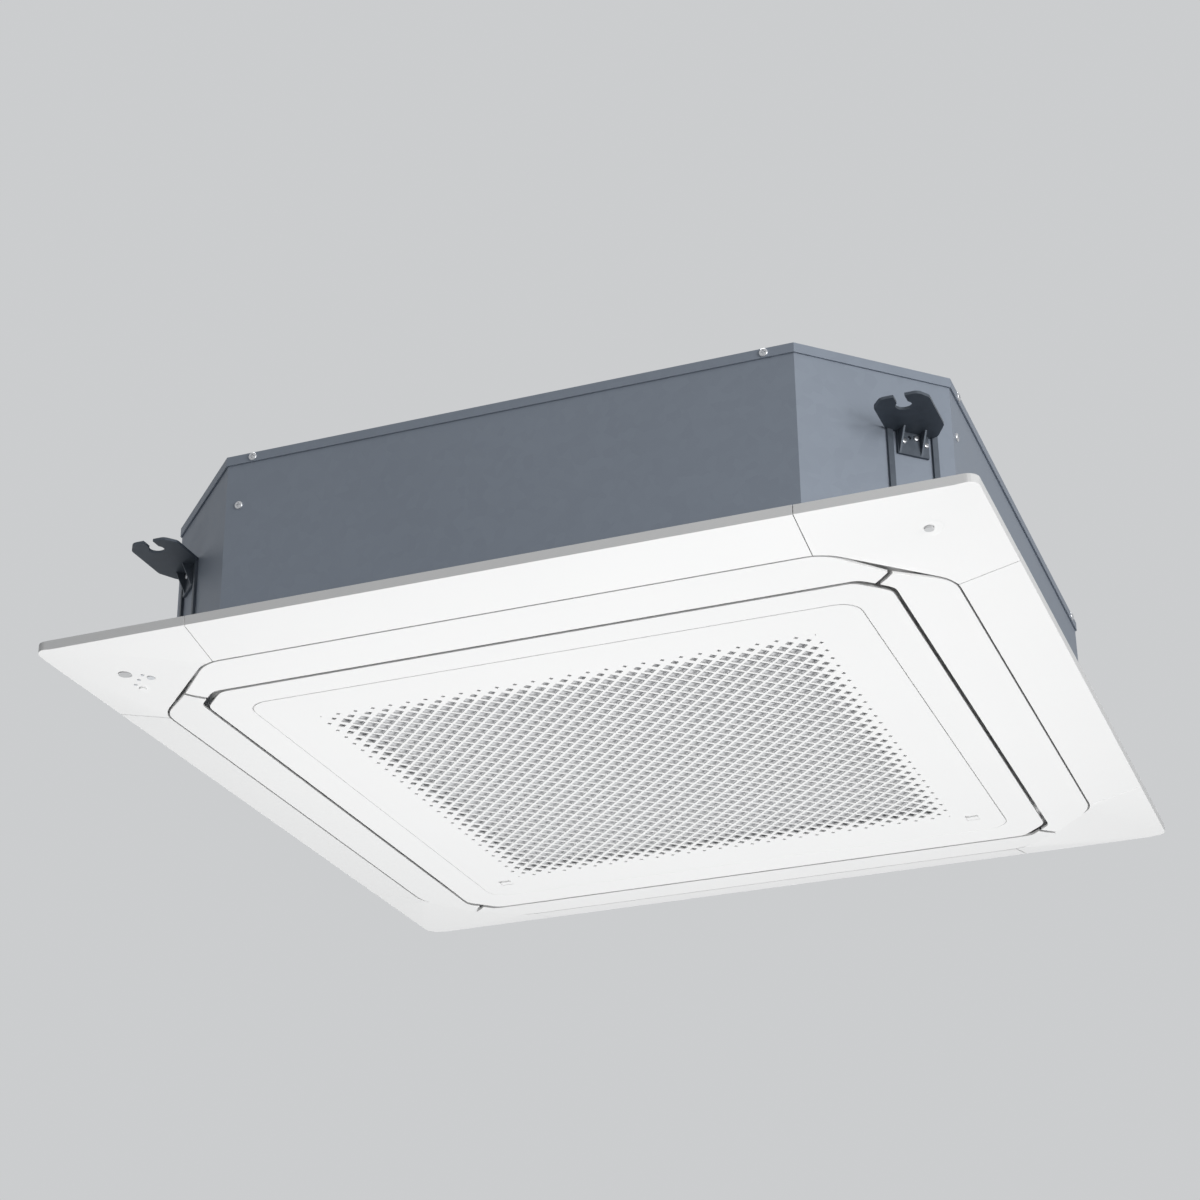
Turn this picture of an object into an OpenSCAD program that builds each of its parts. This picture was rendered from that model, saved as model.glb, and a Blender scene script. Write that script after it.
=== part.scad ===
// Ceiling cassette air conditioner: a boxed fan coil unit above the ceiling and a
// square panel with four air flaps and a perforated intake grille below it.
// Heights are measured from the ceiling plane, then everything is moved so that the
// origin lies between the four hanging slots. The front is towards -Y.

/* [Body] */
// Width of the square body
body_w = 840; // [820:2:860]
// Height of the body above the ceiling plane
body_h = 200; // [196:2:260]
// Length cut from each side at the body's corners
body_cut = 120; // [112:2:124]
// Thickness of the sheet steel
sheet_t = 1.5; // [1:0.25:2]
// Width of the flange under the body's walls
flange_w = 24; // [22:1:26]
// Height of the lid's rim over the walls
lid_lip_h = 10; // [8:1:14]
// Thickness of the foam lining inside the walls
foam_t = 22; // [20:1:23]
// Thickness of the foam under the lid
lid_foam_t = 10; // [6:1:11]
// Radius of the heads of the casing screws
screw_head_r = 4.5; // [3:0.5:5.5]

/* [Hanging] */
// Distance between the hanging slots along X
rod_pitch_x = 790; // [780:2:796]
// Distance between the hanging slots along Y
rod_pitch_y = 780; // [776:2:784]
// Height of the hanging plates above the ceiling plane
hang_h = 128; // [110:2:136]
// Radius of the seat for the rod in each slot
rod_seat_r = 8; // [6.5:0.5:9]
// Width of the way into each slot
rod_way_w = 10.6; // [8:0.2:10.8]
// Thickness of the brackets' steel
bracket_t = 3; // [2.5:0.5:4]
// Width of each bracket leg
leg_w = 6; // [5:0.5:8]
// Distance between the centres of a bracket's legs
leg_pitch = 49; // [44:1:52]
// Distance from the middle of the corner to the middle of the bracket
leg_shift = 38; // [34:1:40]

/* [Panel] */
// Width of the square panel
panel_w = 950; // [944:2:980]
// Height of the band round the panel's edge
rim_h = 10; // [8:0.5:11]
// Radius of the panel's outer corners
panel_corner_r = 12; // [6:1:16]
// Wall of the panel's mouldings
skin = 3; // [2.5:0.25:3.5]
// Depth of the groove outside the flaps below the ceiling
outer_depth = 24; // [23.5:0.5:25]
// Depth of the groove inside the flaps below the ceiling
inner_depth = 30; // [29.5:0.5:31]
// Width across the groove outside the flaps
outer_groove_w = 830; // [828:1:834]
// Width across the groove inside the flaps
inner_groove_w = 720; // [716:1:722]
// Length cut from each side at the outer groove's corners
outer_cut = 98; // [92:2:104]
// Length cut from each side at the inner groove's corners
inner_cut = 30; // [24:1:34]
// Gap between the flaps and the panel outside them
outer_gap = 2; // [1.5:0.25:3]
// Gap between the flaps and the grille
inner_gap = 4; // [3:0.25:4.5]
// Length of the corner covers' sides
cover_l = 168; // [160:1:172]
// Width of the seams beside the corner covers
seam_w = 0.8; // [0.4:0.1:1.2]
// Width of the panel's face that rests on the ceiling
seat_w = 44; // [30:1:48]

/* [Flaps] */
// Thickness of the flaps
flap_t = 3; // [2.5:0.25:3.5]
// Gap between neighbouring flaps at the corners
mitre_gap = 5; // [4:0.25:6]
// Radius of the flaps' pivot pins
flap_pin_r = 2; // [1.75:0.25:2.25]
// Length of each air outlet
outlet_l = 560; // [520:5:568]
// Radius of the flap motors
flap_motor_r = 6.5; // [6:0.1:7]

/* [Grille] */
// Thickness of the grille's plates
grille_t = 2.5; // [2:0.25:2.75]
// Width of the perforated plate
plate_w = 642; // [636:1:646]
// Width of the perforated field
field_w = 528; // [500:4:536]
// Distance between neighbouring holes in a row
hole_pitch = 40; // [38:0.5:48]
// Share of the distance between hole rows that is open
hole_share = 0.7; // [0.5:0.05:0.75]
// Radius of the grille's hinge pins
grille_pin_r = 2; // [1.75:0.25:2.25]
// Width of the filter's frame
filter_w = 550; // [546:1:551]

/* [Fan] */
// Radius of the fan wheel
fan_r = 222; // [210:1:226]
// Height of the fan wheel
fan_h = 98; // [90:1:104]
// Number of fan blades
blade_count = 7; // [5:1:9]
// Radius of the fan's inlet
inlet_r = 168; // [160:1:172]
// Radius of the fan motor
motor_r = 70; // [60:1:74]
// Radius of the motor's shaft
shaft_r = 5; // [4:0.5:6]

/* [Coil and drain] */
// Width across the heat exchanger
coil_w = 600; // [590:2:606]
// Thickness of the heat exchanger
coil_t = 38; // [32:1:40]
// Outer radius of the heat exchanger's bends
coil_bend_r = 70; // [60:2:80]
// Number of tube bends up each end of the heat exchanger
bend_count = 4; // [2:1:4]
// Radius of the heat exchanger's tubes
tube_r = 4.75; // [4:0.25:5]
// Height of the top of the drain pan above the ceiling plane
pan_top_h = 46; // [44:1:50]
// Radius of the gas pipe
gas_r = 7.94; // [6.35:0.01:9.5]
// Radius of the liquid pipe
liquid_r = 4.76; // [3.2:0.01:6.3]
// Radius of the drain spigot
drain_r = 16; // [12:0.5:18]

/* [Electrics] */
// Length of the control box
box_l = 300; // [260:5:320]
// Width of the control box
box_w = 96; // [80:2:98]
// Radius of the receiver's window
window_r = 6.6; // [5:0.1:8]
// Radius of the receiver's button
button_r = 4; // [3:0.1:4.5]
// Travel of the receiver's button
button_travel = 1; // [0.5:0.1:1.5]
// Radius of the room sensor's dome
sensor_r = 4.5; // [3:0.5:6]

/* [Hidden] */

$fn = 64;
// Overrun of every cut
over = 1;
// Gap between pieces that are fitted loosely
fit = 0.3;
// Radial gap of a pin that turns in its bore
run = 0.08;
diag = sqrt(2);

// Body levels and half widths
casing_z = 3;
body_half = body_w / 2;
lid_under_z = body_h - sheet_t;
inside_half = body_half - sheet_t;
foam_half = inside_half - fit;
lined_half = foam_half - foam_t;
lined_cut = body_cut - (sheet_t + fit + foam_t) * (2 - diag);
lid_foam_z = lid_under_z - fit - lid_foam_t;

// Panel levels and half widths
panel_half = panel_w / 2;
outer_half = outer_groove_w / 2;
inner_half = inner_groove_w / 2;
tip_lift = 1.5;
wall_t = 3;
base_t = 3;
base_step = 1;
base_half = panel_half - skin;
seat_in_half = base_half - seat_w;
seam_at = panel_half - cover_l;
groove_half = 1.5;
grille_half = inner_half - groove_half;
flap_in = grille_half + inner_gap;
ring_edge = outer_half + groove_half;
grille_top = -inner_depth + grille_t;
opening_half = 334;
opening_cut = 26;

// Air outlets
outlet_in = 364;
outlet_end_t = 3;
duct_depth = 12;
pan_slot_out = 390;

// Flap pivots
bearing_r = 3.2;
flap_slope = (inner_depth - outer_depth) / (outer_half - inner_half);
flap_pivot_in = 15;
flap_pivot_at = inner_half + flap_pivot_in;
flap_pivot_z = -inner_depth + flap_t + flap_slope * flap_pivot_in + bearing_r + fit;
lug_t = 5;
lug_gap = 3;
lug_r = 3.5;
lug_at = outlet_l / 2 + outlet_end_t + lug_gap + lug_t / 2;
flap_pin_l = 10;
bearing_w = 9;

// Grille hinge
hinge_in = 15.5;
hinge_lift = 6;
hinge_at = grille_half - hinge_in;
hinge_z = -inner_depth + hinge_lift;
hinge_x = 230;
hinge_lug_t = 6;
hinge_pin_l = 10;
hinge_nose_r = 3.3;

// Stock screws and small gaps
screw_shank_r = 1.8;
screw_head_h = 2;

// Moves what is built from the ceiling plane to the origin between the slots
module set_frame() { translate([0, 0, -hang_h]) children(); }

// Mirrors its children into one quadrant
module to_corner(sx, sy) { mirror([sx < 0 ? 1 : 0, 0, 0]) mirror([0, sy < 0 ? 1 : 0, 0]) children(); }
module at_corners() { for (sx = [-1, 1], sy = [-1, 1]) to_corner(sx, sy) children(); }

// Places its children on one side: 0 front, 1 right, 2 back, 3 left. They are built on the front.
module to_side(k) { rotate([0, 0, 90 * k]) children(); }

// A cylinder from its base point along Y or X
module along_x(r, l, n = 48) { rotate([0, 90, 0]) cylinder(r = r, h = l, $fn = n); }
module along_y(r, l, n = 48) { rotate([-90, 0, 0]) cylinder(r = r, h = l, $fn = n); }

// Square with cut corners, centred, given by half width and the length cut from each side
function cut_square(h, c) = [
    [h - c, -h], [h, -h + c], [h, h - c], [h - c, h],
    [-h + c, h], [-h, h - c], [-h, -h + c], [-h + c, -h]
];
// The cut that keeps the corner parallel when a cut square grows by t
function grown_cut(c, t) = c + t * (2 - diag);

// Rounds each corner of a closed path with an arc of radius r in n steps
function unit(v) = v / norm(v);
function arc_at(a, b, c, r, n) =
    let(u = unit(a - b), v = unit(c - b), half = acos(u * v) / 2, back = r / tan(half),
        centre = b + unit(u + v) * r / sin(half), p = b + u * back - centre, q = b + v * back - centre,
        turn = 180 - 2 * half, way = (p[0] * q[1] - p[1] * q[0]) > 0 ? 1 : -1)
    [for (i = [0:n]) let(t = way * turn * i / n)
        centre + [p[0] * cos(t) - p[1] * sin(t), p[0] * sin(t) + p[1] * cos(t)]];
function rounded(path, r, n = 5) = let(m = len(path))
    [for (i = [0:m - 1]) each arc_at(path[(i + m - 1) % m], path[i], path[(i + 1) % m], r, n)];
function square_path(h) = [[h, -h], [h, h], [-h, h], [-h, -h]];

module plate(path, z, t) { translate([0, 0, z]) linear_extrude(t) polygon(path); }

// Outline of the ring groove outside the flaps, grown by t
ring_round = 40;
function ring_path(t) = rounded(cut_square(outer_half + t, grown_cut(outer_cut, t)), ring_round, 4);
// Outline of the groove round the grille, grown by t
inner_round = 18;
function grille_path(t) = rounded(cut_square(inner_half + t, grown_cut(inner_cut, t)), inner_round, 3);
// Inner outline of the flaps, with room at the corners for the opening grille
corner_relief = 5;
function flap_path() =
    rounded(cut_square(flap_in, grown_cut(inner_cut, flap_in - inner_half) - corner_relief), inner_round, 3);

// Underside of the panel, as the outline of a slice across it, raised by i
function panel_slice(i) = [
    [-panel_half + i, over], [-panel_half + i, -rim_h + i], [-outer_half, -outer_depth + i],
    [-inner_half, -inner_depth + i], [inner_half, -inner_depth + i], [outer_half, -outer_depth + i],
    [panel_half - i, -rim_h + i], [panel_half - i, over]
];
corner_w = panel_half * diag;
corner_cut_w = (outer_half - outer_cut / 2) * diag;
corner_slope = (outer_depth - rim_h + tip_lift) / (corner_w - corner_cut_w);
corner_low_w = corner_cut_w - (inner_depth - outer_depth) / corner_slope;
function corner_slice(i) = [
    [-corner_w, over], [-corner_w, -rim_h + tip_lift + i], [-corner_low_w, -inner_depth + i],
    [corner_low_w, -inner_depth + i], [corner_w, -rim_h + tip_lift + i], [corner_w, over]
];
module slice_bar(path) {
    rotate([90, 0, 90]) translate([0, 0, -panel_w]) linear_extrude(2 * panel_w) polygon(path);
}
module panel_form(i) {
    intersection() {
        slice_bar(panel_slice(i));
        rotate([0, 0, 90]) slice_bar(panel_slice(i));
        rotate([0, 0, 45]) slice_bar(corner_slice(i));
        rotate([0, 0, -45]) slice_bar(corner_slice(i));
        plate(rounded(square_path(panel_half - i), panel_corner_r - i, 6), -inner_depth - over,
            inner_depth + (i > 0 ? 2 * over : over));
    }
}
// The square of a corner cover in the quadrant +X +Y, shrunk by g along its seams
module cover_square(g) {
    side = cover_l + over;
    translate([seam_at + g, seam_at + g, -inner_depth - over]) cube([side, side, inner_depth + 3 * over]);
}
// Height of the corner facet's underside above a point at distance w along the diagonal
function corner_z(w) = -rim_h + tip_lift - corner_slope * (corner_w - w);

// Outer casing: eight walls, the flange under them and the holes for pipes, drain and cable
pipe_x = -250;
gas_z = 96;
liquid_z = 138;
pipe_plate_w = 96;
pipe_plate_h = 104;
pipe_hole_w = 76;
pipe_hole_h = 84;
drain_y = 250;
drain_z = 120;
drain_collar = 1.5;
drain_body_r = drain_r + drain_collar;
gland_y = -230;
gland_z = 60;
gland_r = 14;
module outer_casing() {
    color([0.55, 0.58, 0.62]) set_frame() difference() {
        plate(cut_square(body_half, body_cut), casing_z, lid_under_z - casing_z);
        plate(cut_square(inside_half, grown_cut(body_cut, -sheet_t)), casing_z + sheet_t, body_h);
        plate(cut_square(body_half - flange_w, grown_cut(body_cut, -flange_w)), casing_z - over, body_h);
        translate([pipe_x - pipe_hole_w / 2, body_half - flange_w, (gas_z + liquid_z - pipe_hole_h) / 2])
            cube([pipe_hole_w, flange_w + over, pipe_hole_h]);
        translate([-body_half - over, drain_y, drain_z]) along_x(drain_body_r + fit, flange_w);
        translate([body_half - flange_w + over, gland_y, gland_z]) along_x(gland_r, flange_w);
        at_lid_screws() wall_hole(0);
        at_seam_screws() wall_hole(0);
        at_corners() at_foot_screws() wall_hole(0);
    }
}

// Lid: a flat top with a rim over the walls and two pressed stiffening ribs
rib_w = 60;
rib_h = 4;
rib_l = 520;
rib_at = 288;
module at_ribs() {
    for (s = [-1, 1]) translate([-rib_l / 2, s * rib_at - rib_w / 2, body_h]) children();
}
module lid() {
    lip_half = body_half + fit + sheet_t;
    color([0.55, 0.58, 0.62]) set_frame() difference() {
        union() {
            plate(cut_square(lip_half, grown_cut(body_cut, fit + sheet_t)), body_h - lid_lip_h, lid_lip_h);
            at_ribs() cube([rib_l, rib_w, rib_h]);
        }
        plate(cut_square(body_half + fit, grown_cut(body_cut, fit)), body_h - lid_lip_h - over,
            lid_lip_h - sheet_t + over);
        at_ribs() translate([sheet_t, sheet_t, -sheet_t - over])
            cube([rib_l - 2 * sheet_t, rib_w - 2 * sheet_t, rib_h + over]);
        at_lid_screws() wall_hole(fit + sheet_t);
    }
}

// Screws through the lid's rim and the casing's seams
lid_screw_at = 271;
seam_screw_at = 285;
seam_screw_z = 143;
module at_lid_screws() {
    for (k = [0:3], s = [-1, 1]) to_side(k)
        translate([s * lid_screw_at, -body_half, body_h - lid_lip_h / 2]) children();
}
module at_seam_screws() {
    for (k = [0:3]) to_side(k) translate([-seam_screw_at, -body_half, seam_screw_z]) children();
}
// A screw whose head lies at distance out from the wall's outer face
module wall_screw(head_r, out) {
    translate([0, -out - screw_head_h, 0]) along_y(head_r, screw_head_h, 32);
    translate([0, -out, 0]) along_y(screw_shank_r, out + sheet_t, 24);
}
// The hole for a screw through a wall of thickness t
module wall_hole(t) { translate([0, -t - over, 0]) along_y(screw_shank_r + run, t + 2 * over + sheet_t, 24); }
module casing_screws() {
    color([0.85, 0.86, 0.88]) set_frame() {
        at_lid_screws() wall_screw(screw_head_r, fit + sheet_t);
        at_seam_screws() wall_screw(screw_head_r, 0);
    }
}

// Hanging bracket: a slotted plate, a foot with three screws, two legs and a tab for the panel's screw
plate_reach = 18;
plate_out = 26;
plate_round = 8;
foot_h = 24;
foot_w = 34;
tab_out = 24;
tab_hole_r = 2.8;
tab_lift = 2;
tab_z = casing_z + tab_lift;
corner_mid = body_half - body_cut / 2;
rod_x = rod_pitch_x / 2;
rod_y = rod_pitch_y / 2;
gusset_t = 2;
gusset_out = 14;
gusset_shares = [-0.47, 0.22];
foot_screw_r = 3;
foot_screw_drop = 10.5;
foot_screw_rise = 5;
foot_screw_shares = [-0.31, 0.09, 0.4];
foot_screw_rises = [0, foot_screw_rise, 0];
foot_hole_r = 2;
foot_hole_share = -0.11;
// Frame on the middle of the cut corner: X runs along the corner towards +X, Y points outwards
module on_corner() { translate([corner_mid, corner_mid, 0]) rotate([0, 0, -45]) children(); }
// A place on the bracket's foot, turned as on the front side
module at_foot_place(share, rise) {
    translate([leg_shift + foot_w * share, 0, hang_h - foot_screw_drop + rise]) mirror([0, 1, 0]) children();
}
module at_foot_screws() {
    on_corner() for (i = [0:2]) at_foot_place(foot_screw_shares[i], foot_screw_rises[i]) children();
}
module bracket(sx, sy) {
    leg_in = leg_shift - leg_pitch / 2;
    leg_out = leg_shift + leg_pitch / 2;
    near_x = corner_mid + (leg_in - leg_w / 2) / diag;
    near_y = corner_mid - (leg_in - leg_w / 2) / diag;
    far_x = corner_mid + (leg_out + leg_w / 2) / diag;
    far_y = corner_mid - (leg_out + leg_w / 2) / diag;
    color([0.3, 0.33, 0.37]) set_frame() to_corner(sx, sy) {
        difference() {
            translate([0, 0, hang_h]) linear_extrude(bracket_t) polygon(rounded([
                [near_x, near_y], [far_x, far_y], [rod_x + plate_out, rod_y - rod_seat_r - plate_out * 1.6],
                [rod_x + plate_out, rod_y + plate_reach / 3], [rod_x + plate_out * 0.7, rod_y + plate_reach],
                [rod_x - plate_out * 0.7, rod_y + plate_reach], [near_x, rod_y + plate_reach / 3]
            ], plate_round, 4));
            translate([rod_x, rod_y, hang_h - over]) cylinder(r = rod_seat_r, h = bracket_t + 2 * over);
            translate([rod_x - rod_way_w / 2, rod_y, hang_h - over])
                cube([rod_way_w, plate_reach + over, bracket_t + 2 * over]);
        }
        on_corner() {
            for (x = [leg_in, leg_out]) translate([x - leg_w / 2, 0, tab_z])
                cube([leg_w, bracket_t, hang_h + bracket_t - tab_z]);
            difference() {
                translate([leg_shift - foot_w / 2, 0, hang_h - foot_h])
                    cube([foot_w, bracket_t, foot_h + bracket_t]);
                at_foot_place(foot_hole_share, foot_screw_rise) translate([0, -bracket_t - over, 0])
                    along_y(foot_hole_r, bracket_t + 2 * over, 24);
                for (i = [0:2]) at_foot_place(foot_screw_shares[i], foot_screw_rises[i]) wall_hole(bracket_t);
            }
            translate([leg_in, 0, hang_h]) cube([leg_pitch, bracket_t, bracket_t]);
            for (x = foot_w * gusset_shares) translate([leg_shift + x, 0, hang_h])
                rotate([0, 90, 0]) linear_extrude(gusset_t)
                    polygon([[0, 0], [foot_h, 0], [foot_h, bracket_t], [0, gusset_out]]);
            difference() {
                translate([leg_in, 0, tab_z]) cube([leg_pitch, tab_out, bracket_t]);
                translate([leg_shift, tab_out / 2, tab_z - over])
                    cylinder(r = tab_hole_r, h = bracket_t + 2 * over);
            }
        }
    }
}
module front_left_bracket() { bracket(-1, -1); }
module front_right_bracket() { bracket(1, -1); }
module back_left_bracket() { bracket(-1, 1); }
module back_right_bracket() { bracket(1, 1); }

module bracket_screws() {
    color([0.85, 0.86, 0.88]) set_frame() at_corners() at_foot_screws() wall_screw(foot_screw_r, bracket_t);
}

// Foam lining: the walls inside the casing and a slab under the lid with a hole for the motor
motor_hole_r = 100;
module foam_lining() {
    foam_z = casing_z + sheet_t;
    foam_cut = grown_cut(body_cut, -sheet_t - fit);
    color([0.9, 0.9, 0.88]) set_frame() difference() {
        plate(cut_square(foam_half, foam_cut), foam_z, lid_under_z - foam_z);
        plate(cut_square(lined_half, lined_cut), foam_z - over, lid_foam_z - foam_z + over);
        translate([0, 0, lid_foam_z - over]) cylinder(r = motor_hole_r, h = body_h);
        translate([pipe_x - pipe_hole_w / 2, lined_half - over, (gas_z + liquid_z - pipe_hole_h) / 2])
            cube([pipe_hole_w, foam_t + 2 * over, pipe_hole_h]);
        translate([-foam_half - over, drain_y, drain_z]) along_x(drain_body_r + fit, foam_t + 2 * over);
        translate([lined_half - over, gland_y, gland_z]) along_x(gland_r, foam_t + 2 * over);
    }
}

// Heat exchanger: a square ring of fins, open at the back left corner
coil_sink = 12;
coil_z = pan_top_h - coil_sink;
coil_half = coil_w / 2;
coil_in = coil_half - coil_t;
coil_open = 112;
coil_h = lid_foam_z - fit - coil_z;
end_plate_t = 2;
module coil_ring(z, h) {
    difference() {
        plate(rounded(square_path(coil_half), coil_bend_r, 8), z, h);
        plate(rounded(square_path(coil_in), coil_bend_r - coil_t, 8), z - over, h + 2 * over);
    }
}
module coil_fins() {
    gap = coil_half - coil_open;
    color([0.75, 0.77, 0.8]) set_frame() difference() {
        coil_ring(coil_z, coil_h);
        translate([-coil_half - over, gap, coil_z - over])
            cube([coil_half - gap + over, coil_open + over, coil_h + 2 * over]);
    }
}
// End plates on the two cut ends of the fins
module coil_end_plates() {
    gap = coil_half - coil_open;
    color([0.6, 0.62, 0.65]) set_frame() {
        translate([-coil_half, gap, coil_z]) cube([coil_t, end_plate_t, coil_h]);
        translate([-gap - end_plate_t, coil_in, coil_z]) cube([end_plate_t, coil_t, coil_h]);
    }
}
// Hairpin bends on both end plates
bend_r = 9;
module hairpin() {
    rotate_extrude(angle = 180, $fn = 48) translate([bend_r, 0]) circle(r = tube_r, $fn = 24);
}
module coil_bends() {
    gap = coil_half - coil_open;
    step = coil_h / (bend_count + 1);
    color([0.72, 0.45, 0.3]) set_frame() for (i = [1:bend_count]) {
        translate([-coil_half + coil_t / 2, gap + end_plate_t, coil_z + step * i])
            rotate([0, -90, 0]) hairpin();
        translate([-gap - end_plate_t, coil_half - coil_t / 2, coil_z + step * i])
            rotate([90, 0, 0]) rotate([0, 0, 90]) hairpin();
    }
}

// Headers in the open corner, with feeder tubes to the end plates
gas_shift = 18;
liquid_shift = 20;
gas_x = pipe_x - gas_shift;
liquid_x = pipe_x + liquid_shift;
header_r = 10;
small_header_r = 8;
feeder_r = 3.5;
feeder_off = 6;
header_out = 46;
header_end = 14;
module coil_headers() {
    gap = coil_half - coil_open + end_plate_t;
    top = coil_z + coil_h - header_end;
    low = coil_z + header_end;
    color([0.72, 0.45, 0.3]) set_frame() {
        translate([gas_x, gap + header_out, low]) cylinder(r = header_r, h = top - low);
        for (z = [low + header_r, top - header_r])
            translate([-coil_in - feeder_off, gap, z]) along_y(feeder_r, header_out, 24);
        translate([liquid_x, coil_in + feeder_off, low]) cylinder(r = small_header_r, h = top - low);
        for (z = [low + header_r, top - header_r])
            translate([liquid_x, coil_in + feeder_off, z]) along_x(feeder_r, -gap - liquid_x, 24);
    }
}

// Refrigerant pipes from the headers to their threaded ends outside the back wall
pipe_out = 50;
nut_at = 26;
nut_l = 14;
bead_t = 2;
bead_h = 1;
module pipe(x, y0, z, r) {
    y_end = body_half + pipe_out;
    translate([x, y0, z]) along_y(r, y_end - y0);
    translate([x, body_half + nut_at + nut_l, z]) along_y(r + bead_h, bead_t);
}
module gas_pipe() {
    color([0.72, 0.45, 0.3]) set_frame()
        pipe(gas_x, coil_half - coil_open + end_plate_t + header_out + header_r, gas_z, gas_r);
}
module liquid_pipe() {
    color([0.72, 0.45, 0.3]) set_frame()
        pipe(liquid_x, coil_in + feeder_off + small_header_r, liquid_z, liquid_r);
}
module flare_nuts() {
    color([0.8, 0.65, 0.35]) set_frame()
        for (p = [[gas_x, gas_z, gas_r], [liquid_x, liquid_z, liquid_r]])
            translate([p[0], body_half + nut_at, p[1]]) difference() {
                along_y(p[2] + nut_l / 3, nut_l, 6);
                translate([0, -over, 0]) along_y(p[2] + run, nut_l + 2 * over);
            }
}
module pipe_plate() {
    color([0.6, 0.62, 0.65]) set_frame() difference() {
        translate([pipe_x - pipe_plate_w / 2, body_half, (gas_z + liquid_z - pipe_plate_h) / 2])
            cube([pipe_plate_w, sheet_t, pipe_plate_h]);
        translate([gas_x, body_half - over, gas_z]) along_y(gas_r + fit, sheet_t + 2 * over);
        translate([liquid_x, body_half - over, liquid_z]) along_y(liquid_r + fit, sheet_t + 2 * over);
    }
}

// Drain pan: a foam tray with the air slots, the trough under the coil and two pits in one corner
pan_lift = 3;
pan_hole_gap = 8;
pan_z = casing_z + pan_lift;
pan_hole_r = inlet_r + pan_hole_gap;
trough_gap = 6;
pump_x = -332;
pump_y = drain_y;
pump_pit_r = 22;
float_x = -330;
float_y = 312;
float_pit_r = 21;
pit_z = 24;
channel_w = 12;
recess_gap = 2;
box_top = pit_z;
ring_flange = 38;
box_mid = (pan_hole_r + ring_flange + opening_half) / 2;
box_near = box_mid - box_w / 2;
module drain_pan() {
    pan_half = lined_half - fit;
    color([0.95, 0.95, 0.93]) set_frame() difference() {
        plate(cut_square(pan_half, grown_cut(lined_cut, -fit)), pan_z, pan_top_h - pan_z);
        translate([0, 0, pan_z - over]) cylinder(r = pan_hole_r, h = pan_top_h);
        for (k = [0:3]) to_side(k)
            translate([-outlet_l / 2, -pan_slot_out, pan_z - over])
                cube([outlet_l, pan_slot_out - outlet_in, pan_top_h]);
        difference() {
            plate(rounded(square_path(coil_half + trough_gap), coil_bend_r, 6), coil_z, pan_top_h);
            plate(rounded(square_path(coil_in - trough_gap), coil_bend_r - coil_t, 6),
                coil_z - over, pan_top_h);
        }
        translate([pump_x, pump_y, pit_z]) cylinder(r = pump_pit_r, h = pan_top_h);
        translate([float_x, float_y, pit_z]) cylinder(r = float_pit_r, h = pan_top_h);
        translate([float_x - channel_w / 2, pump_y, pit_z]) cube([channel_w, float_y - pump_y, pan_top_h]);
        translate([pump_x, pump_y - channel_w / 2, pit_z]) cube([-pump_x - coil_in, channel_w, pan_top_h]);
        translate([-box_l / 2 - recess_gap, -box_near - box_w - recess_gap, pan_z - over])
            cube([box_l + 2 * recess_gap, box_w + 2 * recess_gap, box_top - pan_z + over]);
    }
}

// Inlet ring: a flange under the pan and a curved throat into the fan
ring_t = 2.5;
throat_h = 56;
throat_gap = 8;
module inlet_ring() {
    throat_r = inlet_r - throat_gap;
    color([0.85, 0.85, 0.85]) set_frame() translate([0, 0, pan_z]) rotate_extrude($fn = 96) polygon([
        [pan_hole_r + ring_flange, -ring_t], [pan_hole_r + ring_flange, 0], [pan_hole_r - fit, 0],
        [throat_r + ring_t * 2.4, throat_h / 4], [throat_r + ring_t * 0.4, throat_h * 0.6],
        [throat_r, throat_h], [throat_r - ring_t, throat_h], [throat_r - ring_t * 0.8, throat_h * 0.6],
        [throat_r + ring_t, throat_h / 4], [pan_hole_r - ring_t, -ring_t]
    ]);
}

// Fan: a hub plate domed round the motor, blades under it and a shroud ring
fan_top = 152;
disc_t = 3;
dome_gap = 10;
dome_h = 20;
boss_r = 16;
boss_h = 14;
blade_t = 2.5;
blade_arc_r = 90;
blade_arc_at = 128;
blade_angle = 98;
shroud_in_h = 14;
shroud_rise = 16;
shroud_t = 2.5;
blade_gap = 0.1;
fan_low = fan_top - fan_h;
dome_r = motor_r + dome_gap;
dome_low = fan_top - dome_h;
boss_low = dome_low - boss_h + disc_t;
module fan_hub() {
    line_in = inlet_r + shroud_t * 1.6;
    color([0.85, 0.85, 0.87]) set_frame() {
        rotate_extrude($fn = 96) polygon([
            [shaft_r + run, boss_low], [boss_r, boss_low], [boss_r, dome_low], [dome_r + disc_t, dome_low],
            [dome_r + disc_t, fan_top - disc_t], [fan_r, fan_top - disc_t], [fan_r, fan_top],
            [dome_r, fan_top], [dome_r, dome_low + disc_t], [shaft_r + run, dome_low + disc_t]
        ]);
        difference() {
            for (i = [0:blade_count - 1]) rotate([0, 0, 360 / blade_count * i])
                translate([blade_arc_at, 0, fan_low]) rotate_extrude(angle = blade_angle, $fn = 96)
                    translate([blade_arc_r, 0]) square([blade_t, fan_h - disc_t / 2]);
            rotate_extrude($fn = 96) polygon([
                [0, 0], [0, fan_low + shroud_in_h + blade_gap], [line_in, fan_low + shroud_in_h + blade_gap],
                [fan_r, fan_low + shroud_in_h + shroud_rise + blade_gap], [fan_r * 2, fan_top], [fan_r * 2, 0]
            ]);
        }
    }
}
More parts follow.
